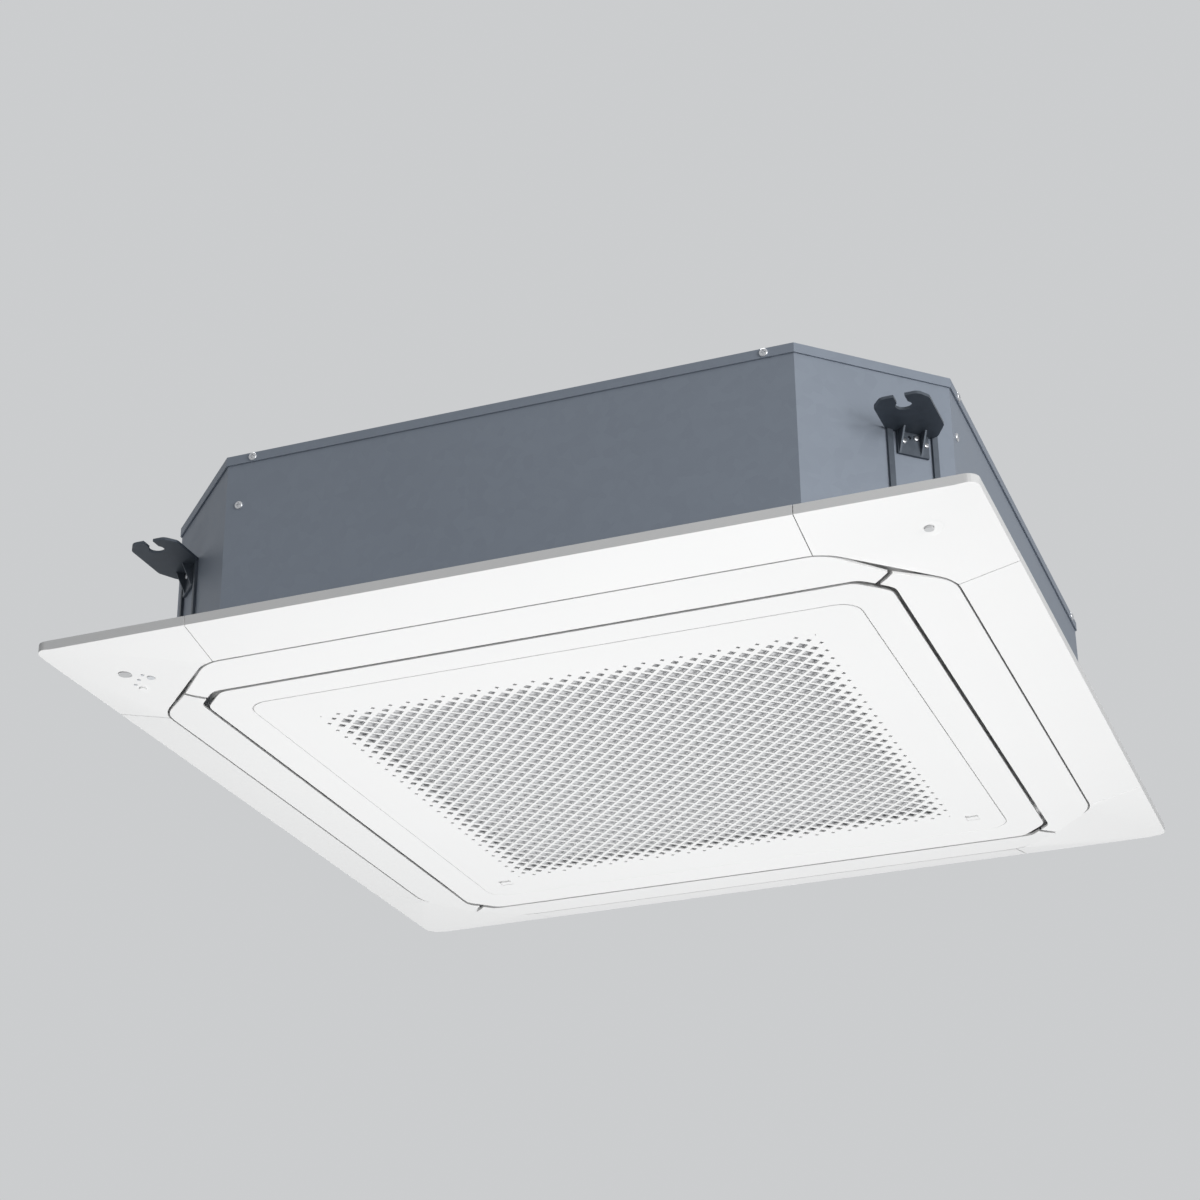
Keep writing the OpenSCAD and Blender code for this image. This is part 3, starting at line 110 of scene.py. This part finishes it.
def even_out(piece, degrees=35):
    """Smooths a piece and lets its large faces set the normals."""
    smooth(piece, degrees)
    even = piece.modifiers.new("even shading", "WEIGHTED_NORMAL")
    even.keep_sharp = True
    apply_all(piece)


def rounded_copy(node, width, segments=2, body=unit):
    source = nodes[node]
    piece = source.copy()
    piece.data = source.data.copy()
    bpy.context.collection.objects.link(piece)
    piece.parent = None
    piece.matrix_world = Matrix.Identity(4)
    pick(piece)
    bpy.ops.object.mode_set(mode="EDIT")
    bpy.ops.mesh.select_all(action="SELECT")
    bpy.ops.mesh.remove_doubles(threshold=merge_within)
    bpy.ops.mesh.dissolve_limited(angle_limit=flat_turn)
    bpy.ops.object.mode_set(mode="OBJECT")
    bevel = piece.modifiers.new("soft edge", "BEVEL")
    bevel.width = width
    bevel.segments = segments
    bevel.limit_method = "ANGLE"
    bevel.angle_limit = edge_turn
    bevel.use_clamp_overlap = True
    apply_all(piece)
    settle(piece, node + "_moulding")
    even_out(piece)
    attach(piece, body)
    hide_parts(node)
    return piece


dressed = {}
for node in covers:
    dressed[node] = rounded_copy(node, 0.5 * mm)
for node in flaps:
    dressed[node] = rounded_copy(node, 0.7 * mm, 3, node)
dressed["panel_frame"] = rounded_copy("panel_frame", 0.4 * mm)
dressed["grille_frame"] = rounded_copy("grille_frame", 0.5 * mm, 2, "grille")
for node in ("outer_casing", "lid", "drain_pan"):
    dressed[node] = rounded_copy(node, 0.6 * mm)
for node in brackets:
    dressed[node] = rounded_copy(node, 0.5 * mm)
print("rounded", {n: len(p.data.polygons) for n, p in dressed.items()})

# %% [markdown]
# The room sensor sits in a faint round dish of its corner cover. A low cone, narrower
# at its top, is cut into the cover's underside, square to the slope there. The cover
# is then smoothed only up to a small turn, so that the dish's faint edge stays.

# %% A faint dish round the room sensor
cover = dressed["front_right_cover"]
dome = nodes["room_sensor"].data.vertices
spot = sum((v.co for v in dome), Vector()) / len(dome)
reach, well_below = 12 * mm, ceiling - 40 * mm
slopes, heights = [], []
for step in ((reach, 0), (-reach, 0), (0, reach), (0, -reach)):
    under = Vector((spot.x + step[0], spot.y + step[1], well_below))
    _, place, slope, _ = cover.closest_point_on_mesh(under)
    slopes.append(slope)
    heights.append(place.z)
slope = sum(slopes, Vector()).normalized()
middle = Vector((spot.x, spot.y, sum(heights) / len(heights)))
dish_base, dish_top, dish_height = 18 * mm, 13 * mm, 1.6 * mm
dish_edge_turn = 12
bpy.ops.object.select_all(action="DESELECT")
bpy.ops.mesh.primitive_cone_add(vertices=64, radius1=dish_base, radius2=dish_top, depth=dish_height)
dish = bpy.context.object
dish.matrix_world = facing(middle, -slope)
cut = cover.modifiers.new("dish", "BOOLEAN")
cut.object = dish
cut.solver = "EXACT"
apply_all(cover)
bpy.data.objects.remove(dish)
even_out(cover, dish_edge_turn)
print("dish at", tuple(round(c, 4) for c in middle), "faces", len(cover.data.polygons))

# %% [markdown]
# The intake plate is the face of the unit: about fourteen hundred diamond holes stand
# in staggered rows, and they shrink towards the edge of the field. One diamond cell is
# made by insetting a square, two arrays repeat it, and a second copy fills the gaps.
# Where cells share corners they are merged into one sheet.

# %% One diamond cell and its field
pitch = 9.78 * mm
web = 1.4 * mm
rows = 27
plate_low = ceiling - 30 * mm
plate_thick = 1.6 * mm


def diamond_field(start, count, name):
    bpy.ops.object.select_all(action="DESELECT")
    place = (start, start, plate_low)
    bpy.ops.mesh.primitive_circle_add(vertices=4, radius=pitch, fill_type="NGON", location=place)
    cell = bpy.context.object
    bpy.ops.object.mode_set(mode="EDIT")
    bpy.ops.mesh.select_all(action="SELECT")
    bpy.ops.mesh.inset(thickness=web)
    bpy.ops.mesh.delete(type="ONLY_FACE")
    bpy.ops.object.mode_set(mode="OBJECT")
    for step in ((2 * pitch, 0, 0), (0, 2 * pitch, 0)):
        repeat = cell.modifiers.new("row", "ARRAY")
        repeat.count = count
        repeat.use_relative_offset = False
        repeat.use_constant_offset = True
        repeat.constant_offset_displace = step
    apply_all(cell)
    return settle(cell, name)


even = diamond_field(-(rows - 1) * pitch, rows, "even_cells")
odd = diamond_field(-rows * pitch, rows + 1, "odd_cells")
plate = join([even, odd], "intake_plate")
print("cells", rows ** 2 + (rows + 1) ** 2, "faces", len(plate.data.polygons))

# %% [markdown]
# The outer rows are smaller: the points of each outer hole are drawn towards its
# middle. The holes in the very corners become pinholes.

# %% Shrink the holes along the edge of the field
share_of_row = {rows: 0.34, rows - 1: 0.60, rows - 2: 0.84, rows - 3: 0.96}
pinhole_share, corner_share = 0.15, 0.42
on_point, merge_points = 0.02, 0.02 * mm
mesh = bmesh.new()
mesh.from_mesh(plate.data)
for vert in mesh.verts:
    i, j = round(vert.co.x / pitch), round(vert.co.y / pitch)
    if (i + j) % 2:
        # A point of a hole can lie nearer to a lattice corner than to its middle
        dx, dy = vert.co.x / pitch - i, vert.co.y / pitch - j
        if abs(dx) + abs(dy) < on_point:
            continue
        if abs(dx) > abs(dy):
            i += 1 if dx > 0 else -1
        else:
            j += 1 if dy > 0 else -1
    edge = max(abs(i), abs(j))
    share = share_of_row.get(edge, 1.0)
    if abs(i) + abs(j) > 2 * rows - 2:
        share = pinhole_share
    elif abs(i) + abs(j) > 2 * rows - 4:
        share = min(share, corner_share)
    if share < 1:
        middle = Vector((i * pitch, j * pitch, vert.co.z))
        vert.co = middle + (vert.co - middle) * share
bmesh.ops.remove_doubles(mesh, verts=mesh.verts, dist=merge_points)
mesh.to_mesh(plate.data)
mesh.free()
print("points after merging", len(plate.data.vertices))

# %% [markdown]
# The rest of the plate is one face between the zigzag edge of the cells and the
# rounded outline. Two small slots leave room for the finger pads of the latches.
# The fill operator closes the face between all selected outlines.

# %% Outline, finger slots and thickness
def outline(width, at, radius):
    bpy.ops.object.select_all(action="DESELECT")
    bpy.ops.mesh.primitive_plane_add(size=1, location=at)
    loop = bpy.context.object
    loop.scale = (width, width, 1)
    bpy.ops.object.transform_apply(location=False, rotation=False, scale=True)
    bpy.ops.object.mode_set(mode="EDIT")
    bpy.ops.mesh.select_all(action="SELECT")
    bpy.ops.mesh.bevel(offset=radius, segments=6, affect="VERTICES")
    bpy.ops.mesh.delete(type="ONLY_FACE")
    bpy.ops.object.mode_set(mode="OBJECT")
    return loop


plate_width, plate_round = 641 * mm, 22 * mm
slot_width, slot_round = 14.6 * mm, 0.8 * mm
slot_side, slot_back = 287 * mm, 279 * mm
rim = outline(plate_width, (0, 0, plate_low), plate_round)
spots = [(side * slot_side, slot_back, plate_low) for side in (-1, 1)]
slots = [outline(slot_width, spot, slot_round) for spot in spots]
plate = join([plate, rim] + slots, "intake_plate")
pick(plate)
bpy.ops.object.mode_set(mode="EDIT")
bpy.ops.mesh.select_all(action="DESELECT")
mesh = bmesh.from_edit_mesh(plate.data)


def on_lattice(vert):
    i, j = round(vert.co.x / pitch), round(vert.co.y / pitch)
    off = abs(vert.co.x / pitch - i) + abs(vert.co.y / pitch - j)
    return off < on_point and (i + j) % 2 == 1 and max(abs(i), abs(j)) <= rows + 1


for edge in mesh.edges:
    zigzag = len(edge.link_faces) == 1 and all(on_lattice(v) for v in edge.verts)
    edge.select_set(zigzag or len(edge.link_faces) == 0)
bmesh.update_edit_mesh(plate.data)
bpy.ops.mesh.fill(use_beauty=False)
bpy.ops.mesh.select_all(action="SELECT")
bpy.ops.mesh.normals_make_consistent(inside=False)
bpy.ops.object.mode_set(mode="OBJECT")
up = plate.data.polygons[0].normal.z > 0
wall = plate.modifiers.new("thickness", "SOLIDIFY")
wall.thickness = plate_thick
wall.offset = 1 if up else -1
apply_all(plate)
settle(plate, "intake_plate")
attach(plate, "grille")
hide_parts("perforated_plate")
heights = [v.co.z for v in plate.data.vertices]
print("plate", len(plate.data.polygons), "faces, from", min(heights), "to", max(heights))

# %% [markdown]
# The casing is held by pan head screws with a cross recess. One head is a short
# cylinder with its rim bevelled and a cross cut into it. It is then copied to every
# place, turned to face out of its wall.

# %% One screw head
def screw_head(radius, height):
    """A pan head that stands on the ground."""
    rim_round = height * 0.7
    bar_size = (radius * 1.1, radius * 0.28, height * 1.2)
    bpy.ops.object.select_all(action="DESELECT")
    bpy.ops.mesh.primitive_cylinder_add(vertices=28, radius=radius, depth=height, location=(0, 0, height / 2))
    head = bpy.context.object
    bpy.ops.object.mode_set(mode="EDIT")
    bpy.ops.mesh.select_all(action="DESELECT")
    shape = bmesh.from_edit_mesh(head.data)
    for edge in shape.edges:
        edge.select_set(all(v.co.z > height / 4 for v in edge.verts))
    bmesh.update_edit_mesh(head.data)
    bpy.ops.mesh.bevel(offset=rim_round, segments=3)
    bpy.ops.object.mode_set(mode="OBJECT")
    for turn in (0, 90):
        bpy.ops.object.select_all(action="DESELECT")
        bpy.ops.mesh.primitive_cube_add(size=1, location=(0, 0, height))
        bar = bpy.context.object
        bar.scale = bar_size
        bar.rotation_euler.z = math.radians(turn)
        cut = head.modifiers.new("recess", "BOOLEAN")
        cut.object = bar
        cut.solver = "EXACT"
        apply_all(head)
        bpy.data.objects.remove(bar)
    settle(head, "screw_head")
    smooth(head, 40)
    return head


def place_heads(head, places, name, node, body=unit):
    heads = []
    for matrix in places:
        one = head.copy()
        one.data = head.data.copy()
        bpy.context.collection.objects.link(one)
        one.data.transform(matrix)
        heads.append(one)
    bpy.data.objects.remove(head)
    piece = join(heads, name)
    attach(piece, body)
    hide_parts(node)
    return piece


wall_at = 420 * mm
head_height = 2 * mm
lid_lap = 1.8 * mm
lid_screw = Vector((271 * mm, -wall_at - lid_lap, ceiling + 195 * mm))
seam_screw = Vector((-285 * mm, -wall_at, ceiling + 143 * mm))
lid_places = []
for quarter in range(4):
    turn = Matrix.Rotation(math.radians(90 * quarter), 4, "Z")
    for side in (-1, 1):
        lid_places.append(turn @ facing((side * lid_screw.x, lid_screw.y, lid_screw.z), (0, -1, 0)))
    lid_places.append(turn @ facing(seam_screw, (0, -1, 0)))
casing_head = screw_head(4.5 * mm, head_height)
casing_heads = place_heads(casing_head, lid_places, "casing_screw_heads", "casing_screws")

cut_middle, foot_sheet = 360 * mm, 3 * mm
foot_shift, foot_up = 38 * mm, 117.5 * mm
foot_screws = ((-10.54 * mm, 0), (3.06 * mm, 5 * mm), (13.6 * mm, 0))
foot_places = []
for side_x in (-1, 1):
    for side_y in (-1, 1):
        for along, rise in foot_screws:
            slide = (foot_shift + along) / math.sqrt(2)
            stand = cut_middle + foot_sheet / math.sqrt(2)
            place = (side_x * (stand + slide), side_y * (stand - slide), ceiling + foot_up + rise)
            foot_places.append(facing(place, (side_x, side_y, 0)))
bracket_head = screw_head(3 * mm, head_height)
bracket_heads = place_heads(bracket_head, foot_places, "bracket_screw_heads", "bracket_screws")
print("heads", len(lid_places), len(foot_places))

# %% [markdown]
# Finishes are written as sums. A small class wraps a socket, so that an expression such
# as 1 - mask adds the Math node it needs. A recipe adds any other node from its type,
# its settings and its inputs.

# %% Sockets that can be added and multiplied
class Amount:
    def __init__(self, tree, socket):
        self.tree, self.socket = tree, socket

    def _join(self, operation, first, second):
        node = self.tree.nodes.new("ShaderNodeMath")
        node.operation = operation
        for entry, value in zip(node.inputs, (first, second)):
            if isinstance(value, Amount):
                self.tree.links.new(value.socket, entry)
            else:
                entry.default_value = value
        return Amount(self.tree, node.outputs[0])

    def __add__(self, other):
        return self._join("ADD", self, other)

    def __radd__(self, other):
        return self._join("ADD", other, self)

    def __sub__(self, other):
        return self._join("SUBTRACT", self, other)

    def __rsub__(self, other):
        return self._join("SUBTRACT", other, self)

    def __mul__(self, other):
        return self._join("MULTIPLY", self, other)

    def __rmul__(self, other):
        return self._join("MULTIPLY", other, self)

    def waves(self):
        return self._join("SINE", self, 0.0)

    def larger(self, other):
        return self._join("MAXIMUM", self, other)


class Recipe:
    def __init__(self, name):
        self.material = bpy.data.materials.new(name)
        self.material.use_nodes = True
        self.tree = self.material.node_tree
        self.shader = self.tree.nodes["Principled BSDF"]
        self.place = self.node("ShaderNodeTexCoord").outputs["Object"]

    def node(self, kind, settings=None, **entries):
        node = self.tree.nodes.new(kind)
        for key, value in (settings or {}).items():
            setattr(node, key, value)
        for key, value in entries.items():
            self.feed(node.inputs[key.replace("_", " ")], value)
        return node

    def feed(self, entry, value):
        if isinstance(value, Amount):
            value = value.socket
        if isinstance(value, bpy.types.NodeSocket):
            self.tree.links.new(value, entry)
        else:
            entry.default_value = value

    def noise(self, scale, detail=3.0, roughness=0.5):
        entries = {"Vector": self.place, "Scale": scale, "Detail": detail, "Roughness": roughness}
        return Amount(self.tree, self.node("ShaderNodeTexNoise", **entries).outputs[0])

    def cells(self, scale):
        node = self.node("ShaderNodeTexVoronoi", Vector=self.place, Scale=scale)
        return Amount(self.tree, self.node("ShaderNodeSeparateColor", Color=node.outputs["Color"]).outputs[0])

    def axis(self, index):
        node = self.node("ShaderNodeSeparateXYZ", Vector=self.place)
        return Amount(self.tree, node.outputs[index])

    def blend(self, dark, light, amount):
        node = self.node("ShaderNodeMix", {"data_type": "RGBA"})
        self.feed(node.inputs[0], amount)
        self.feed(node.inputs[6], (*dark, 1.0))
        self.feed(node.inputs[7], (*light, 1.0))
        return node.outputs[2]

    def bump(self, height, strength, distance):
        return self.node("ShaderNodeBump", Height=height, Strength=strength, Distance=distance).outputs[0]

    def finish(self, **entries):
        for key, value in entries.items():
            self.feed(self.shader.inputs[key.replace("_", " ")], value)
        return self.material


def dress(material, *pieces):
    for piece in pieces:
        piece.data.materials.clear()
        piece.data.materials.append(material)


def dress_nodes(material, slot_name, *names):
    for name in names:
        piece = dressed.get(name, nodes[name])
        if name in dressed:
            dress(material, piece)
        else:
            for slot in piece.material_slots:
                slot.material = material


print("recipes ready")

# %% [markdown]
# The panel is white moulded plastic with a satin skin. The skin has a fine grain that
# scatters the light, and the tone drifts by a hair over a large moulding.

# %% White moulded plastic
def moulded_white(name, tone, shine):
    recipe = Recipe(name)
    drift = recipe.noise(9.0, 2.0)
    grain = recipe.noise(2600.0, 2.0, 0.6)
    warm = tuple(c * 0.985 for c in tone)
    return recipe.finish(
        Base_Color=recipe.blend(warm, tone, drift),
        Roughness=shine + drift * 0.05 + grain * 0.04,
        Normal=recipe.bump(grain, 0.05, 0.0002),
        Specular_IOR_Level=0.45,
    )


panel_white = moulded_white("panel_white_plastic", (0.86, 0.86, 0.855), 0.34)
flap_white = moulded_white("flap_white_plastic", (0.87, 0.87, 0.865), 0.30)
grille_white = moulded_white("grille_white_plastic", (0.87, 0.87, 0.865), 0.32)
dress_nodes(panel_white, "panel_white", "panel_frame", *covers)
dress_nodes(flap_white, "flap_white", *flaps)
dress_nodes(grille_white, "grille_white", "grille_frame", "left_latch", "right_latch", "receiver_button")
dress(grille_white, plate)
print("white plastics done")

# %% [markdown]
# The body is folded from zinc coated sheet. Zinc sets in flat crystals, each a little
# lighter or darker than the next, so cells give its tone and its shine, and long soft
# noise adds the gentle waves of thin sheet.

# %% Zinc coated sheet
def zinc_sheet(name, dark, light, metal, shine, crystals=95.0):
    recipe = Recipe(name)
    crystal = recipe.cells(crystals)
    cloud = recipe.noise(5.0, 3.0)
    grain = recipe.noise(900.0, 2.0, 0.6)
    tone = crystal * 0.35 + cloud * 0.45 + grain * 0.2
    return recipe.finish(
        Base_Color=recipe.blend(dark, light, tone),
        Metallic=metal,
        Roughness=shine + crystal * 0.08 + grain * 0.06,
        Normal=recipe.bump(cloud * 0.8 + grain * 0.05, 0.12, 0.002),
    )


body_sheet = zinc_sheet("body_zinc_sheet", (0.255, 0.292, 0.350), (0.306, 0.348, 0.412), 0.22, 0.46)
box_sheet = zinc_sheet("box_zinc_sheet", (0.42, 0.44, 0.47), (0.56, 0.58, 0.61), 0.5, 0.38)
dark_sheet = zinc_sheet("bracket_steel", (0.070, 0.086, 0.108), (0.120, 0.142, 0.172), 0.30, 0.42, 160.0)
bright_zinc = zinc_sheet("bright_screw_zinc", (0.62, 0.63, 0.65), (0.80, 0.81, 0.83), 0.85, 0.24, 300.0)
dress_nodes(body_sheet, "galvanised", "outer_casing", "lid", "pipe_plate")
dress_nodes(box_sheet, "box_steel", "control_box", "control_box_cover")
dress_nodes(box_sheet, "end_plate", "coil_end_plates")
dress_nodes(box_sheet, "stepper", "flap_motors")
dress_nodes(dark_sheet, "bracket_steel", *brackets)
dress_nodes(bright_zinc, "zinc", "panel_screws", "fan_nut", "motor_shaft")
dress(bright_zinc, casing_heads, bracket_heads)
print("sheet finishes done")

# %% [markdown]
# Foam beads are pressed together in a hot mould and stay visible as small rounded
# cells, each painted darker towards its rim: painted shade in the creases between the
# beads. Rubber, dark housings and inner plastics are plainer: a tone that drifts and a
# fine grain.

# %% Foam, rubber and inner plastics
def beads(name, dark, light):
    recipe = Recipe(name)
    node = recipe.node("ShaderNodeTexVoronoi", Vector=recipe.place, Scale=240.0)
    edge = Amount(recipe.tree, node.outputs["Distance"])
    return recipe.finish(
        # Each bead is painted darker towards its rim: painted shade in the creases between the beads.
        Base_Color=recipe.blend(light, dark, edge * 0.8),
        Roughness=0.8,
        Normal=recipe.bump(1 - edge, 0.35, 0.0008),
    )


def plain_plastic(name, dark, light, shine, grain_scale=1500.0, metal=0.0):
    recipe = Recipe(name)
    drift = recipe.noise(14.0, 3.0)
    grain = recipe.noise(grain_scale, 2.0, 0.6)
    return recipe.finish(
        Base_Color=recipe.blend(dark, light, drift * 0.7 + grain * 0.3),
        Roughness=shine + grain * 0.08,
        Metallic=metal,
        Normal=recipe.bump(grain, 0.12, 0.0003),
    )


foam = beads("pressed_foam", (0.60, 0.60, 0.58), (0.83, 0.83, 0.81))
dress_nodes(foam, "foam", "foam_lining", "drain_pan")
rubber = plain_plastic("black_rubber", (0.018, 0.018, 0.019), (0.032, 0.032, 0.033), 0.62)
dress_nodes(rubber, "rubber", "motor_mounts", "panel_gasket", "cable_gland")
inner_grey = plain_plastic("inner_grey_plastic", (0.60, 0.60, 0.60), (0.70, 0.70, 0.70), 0.42)
dress_nodes(inner_grey, "inlet_plastic", "inlet_ring")
dress_nodes(inner_grey, "fan_plastic", "fan_hub", "fan_shroud")
dress_nodes(inner_grey, "pump_plastic", "pump_housing", "float_guide", "drain_tube")
dress_nodes(inner_grey, "terminal", "terminal_block")
motor_paint = plain_plastic("motor_black_paint", (0.045, 0.047, 0.05), (0.07, 0.072, 0.078), 0.32, 900.0, 0.4)
dress_nodes(motor_paint, "motor_paint", "motor_housing")
blue = plain_plastic("float_blue_plastic", (0.05, 0.16, 0.36), (0.07, 0.22, 0.46), 0.35)
dress_nodes(blue, "float_plastic", "float")
dress_nodes(blue, "impeller_plastic", "pump_impeller")
filter_grey = plain_plastic("filter_frame_plastic", (0.70, 0.71, 0.72), (0.77, 0.78, 0.79), 0.5)
dress_nodes(filter_grey, "filter_plastic", "filter_frame")
print("inner finishes done")

# %% [markdown]
# The filter is a woven net behind the holes. Two sets of fine waves cross, and where
# either is high a thread lies on top.

# %% Woven filter net
def woven(name, dark, light, threads):
    recipe = Recipe(name)
    across = (recipe.axis(0) * threads).waves()
    along = (recipe.axis(1) * threads).waves()
    thread = across.larger(along) * 0.5 + 0.5
    dust = recipe.noise(18.0, 4.0)
    return recipe.finish(
        Base_Color=recipe.blend(dark, light, thread * (0.75 + dust * 0.25)),
        Roughness=0.7,
        Normal=recipe.bump(thread, 0.25, 0.0003),
    )


net = woven("filter_net", (0.52, 0.525, 0.535), (0.59, 0.595, 0.605), 6400.0)
dress_nodes(net, "filter_cloth", "filter_mesh")
print("net done")

# %% [markdown]
# Copper tube dulls unevenly as it oxidises; brass nuts stay brighter. The coil's fins
# are hundreds of thin plates: here their edges are lines in the bump, across each leg,
# and the base colour is painted darker between the lines, painted shade in the gaps between the plates.

# %% Copper, brass and fins
def tarnished(name, dull, bright, shine):
    recipe = Recipe(name)
    bloom = recipe.noise(60.0, 5.0, 0.65)
    fine = recipe.noise(700.0, 2.0)
    return recipe.finish(
        Base_Color=recipe.blend(dull, bright, bloom * 0.8 + fine * 0.2),
        Metallic=0.9,
        Roughness=shine + bloom * 0.15,
        Normal=recipe.bump(fine, 0.05, 0.0003),
    )


copper = tarnished("copper_tube", (0.42, 0.20, 0.11), (0.80, 0.44, 0.29), 0.24)
brass = tarnished("brass_nut", (0.58, 0.42, 0.18), (0.83, 0.66, 0.34), 0.22)
dress_nodes(copper, "copper", "coil_bends", "coil_headers", "gas_pipe", "liquid_pipe")
dress_nodes(brass, "brass", "flare_nuts")


def stacked_fins(name, dark, light, spacing):
    recipe = Recipe(name)
    turns = 2 * math.pi / spacing
    fin_edges_and_painted_gap_shade = (recipe.axis(0) * turns).waves() * 0.5 + (recipe.axis(1) * turns).waves() * 0.5
    return recipe.finish(
        # The base colour is painted darker between the fin edges: painted shade in the gaps between the
        # plates.
        Base_Color=recipe.blend(dark, light, fin_edges_and_painted_gap_shade * 0.5 + 0.5),
        Metallic=0.8,
        Roughness=0.4,
        Normal=recipe.bump(fin_edges_and_painted_gap_shade, 0.6, 0.0006),
    )


fins = stacked_fins("aluminium_fins", (0.30, 0.31, 0.33), (0.74, 0.76, 0.78), 0.0032)
dress_nodes(fins, "fins", "coil_fins")
print("metals done")

# %% [markdown]
# The receiver has a grey window that lets infrared through, small lamps and a button.
# The room sensor on the other corner is a small grey dome.

# %% Window, lamps, sensor and boards
def lens(name, dark, light, shine):
    recipe = Recipe(name)
    haze = recipe.noise(300.0, 2.0)
    return recipe.finish(
        Base_Color=recipe.blend(dark, light, haze),
        Roughness=shine + haze * 0.04,
        Coat_Weight=0.4,
    )


grey_window = lens("receiver_dark_window", (0.44, 0.445, 0.45), (0.52, 0.525, 0.53), 0.18)
clear_lens = lens("lamp_lens", (0.55, 0.57, 0.59), (0.66, 0.68, 0.70), 0.2)
grey_dome = lens("sensor_dome", (0.50, 0.505, 0.51), (0.60, 0.605, 0.61), 0.35)
dress_nodes(grey_window, "window", "receiver_window")
dress_nodes(clear_lens, "lamp", "receiver_lamps")
dress_nodes(grey_dome, "sensor", "room_sensor")
board = plain_plastic("board_green", (0.02, 0.12, 0.05), (0.04, 0.20, 0.08), 0.3)
dress_nodes(board, "board", "circuit_board", "receiver_board")
print("small finishes done")

# %% [markdown]
# The photograph was taken from below and in front, with a long lens. The camera's
# angles come from the corners of the panel. The panel's middle lies a little right of
# the picture's middle and below it, by the two aims in metres.

# %% Camera
azimuth, lift, roll = math.radians(20.68), math.radians(-25.62), math.radians(0.66)
distance, focal_px, frame_px = 2.807, 2589.0, 1200
aim_x, aim_y = 0.0546, -0.1553
film_width = 36
back = Vector((math.sin(azimuth) * math.cos(lift), -math.cos(azimuth) * math.cos(lift), math.sin(lift)))
ahead = -back
right = Vector((math.cos(azimuth), math.sin(azimuth), 0))
above = right.cross(ahead)
cam_right = right * math.cos(roll) - above * math.sin(roll)
cam_up = right * math.sin(roll) + above * math.cos(roll)
eye = back * distance - cam_right * aim_x - cam_up * aim_y + Vector((0, 0, ceiling))
lens_data = bpy.data.cameras.new("camera")
camera = bpy.data.objects.new("camera", lens_data)
bpy.context.collection.objects.link(camera)
camera.matrix_world = Matrix.Translation(eye) @ Matrix((cam_right, cam_up, -ahead)).transposed().to_4x4()
lens_data.sensor_width = film_width
lens_data.lens = focal_px / frame_px * film_width
lens_data.clip_end = 200
bpy.context.scene.camera = camera
print("camera at", tuple(round(c, 3) for c in eye), "lens", round(lens_data.lens, 1))

# %% [markdown]
# A pale floor lies far below. Where it is seen, straight on or in a shiny or clear
# surface, part of its tone is a glow, so that it stays pale far from the lamps.

# %% Pale floor
def seen_by_eye(tree):
    """1 for rays from the camera, from gloss and through glass, and 0 for plain light."""
    path = tree.nodes.new("ShaderNodeLightPath")
    names = ("Is Camera Ray", "Is Glossy Ray", "Is Transmission Ray")
    camera_ray, glossy_ray, glass_ray = (Amount(tree, path.outputs[name]) for name in names)
    return camera_ray.larger(glossy_ray).larger(glass_ray)


floor_z = -5.5
glow_part = 0.75
room_tone = (0.60, 0.61, 0.62, 1.0)
bpy.ops.object.select_all(action="DESELECT")
bpy.ops.mesh.primitive_plane_add(size=160, location=(0, 0, floor_z))
floor = bpy.context.object
recipe = Recipe("pale_floor")
speck = recipe.noise(40.0, 3.0)
recipe.finish(Base_Color=recipe.blend((0.72, 0.72, 0.72), (0.76, 0.76, 0.76), speck), Roughness=0.8)
glow = recipe.node("ShaderNodeEmission", Color=room_tone, Strength=1.0)
lift_share = recipe.node("ShaderNodeMixShader")
recipe.feed(lift_share.inputs[0], seen_by_eye(recipe.tree) * glow_part)
recipe.feed(lift_share.inputs[1], recipe.shader.outputs[0])
recipe.feed(lift_share.inputs[2], glow.outputs[0])
recipe.feed(recipe.tree.nodes["Material Output"].inputs[0], lift_share.outputs[0])
dress(recipe.material, floor)
settle(floor, "floor")
print("floor at", floor_z)

# %% [markdown]
# The world is a plain room. It gives a dim even light, and shows a paler tone where it
# is seen.

# %% Pale room
world = bpy.data.worlds.new("pale_room")
bpy.context.scene.world = world
world.use_nodes = True
sky = world.node_tree
room = sky.nodes["Background"]
room.inputs["Color"].default_value = (0.95, 0.97, 1.0, 1)
room.inputs["Strength"].default_value = 0.23
wall = sky.nodes.new("ShaderNodeBackground")
wall.inputs["Color"].default_value = room_tone
wall.inputs["Strength"].default_value = 1.0
seen = sky.nodes.new("ShaderNodeMixShader")
sky.links.new(seen_by_eye(sky).socket, seen.inputs[0])
sky.links.new(room.outputs[0], seen.inputs[1])
sky.links.new(wall.outputs[0], seen.inputs[2])
sky.links.new(seen.outputs[0], sky.nodes["World Output"].inputs[0])
print("room tone", room_tone)

# %% [markdown]
# Large soft lamps light the panel from below and the body from the right, as in the
# photograph. A third one stands above and behind, so that the lid and the pipes are
# seen as well. A lamp shines away from its top, so its top faces away from its target.

# %% Soft lamps
def soft_lamp(name, place, target, size, power):
    data = bpy.data.lights.new(name, "AREA")
    data.shape = "DISK"
    data.size = size
    data.energy = power
    lamp = bpy.data.objects.new(name, data)
    bpy.context.collection.objects.link(lamp)
    lamp.matrix_world = facing(place, Vector(place) - Vector(target))


soft_lamp("from_below", (0.05, -0.15, -2.7), (0, 0, -0.15), 2.0, 64)
soft_lamp("from_right", (3.0, -1.9, -0.1), (0, 0, 0), 1.8, 60)
soft_lamp("from_above", (-0.9, 1.5, 3.2), (0, 0, 0.05), 2.4, 98)
bpy.context.scene.view_settings.view_transform = "Standard"
print("lamps placed")
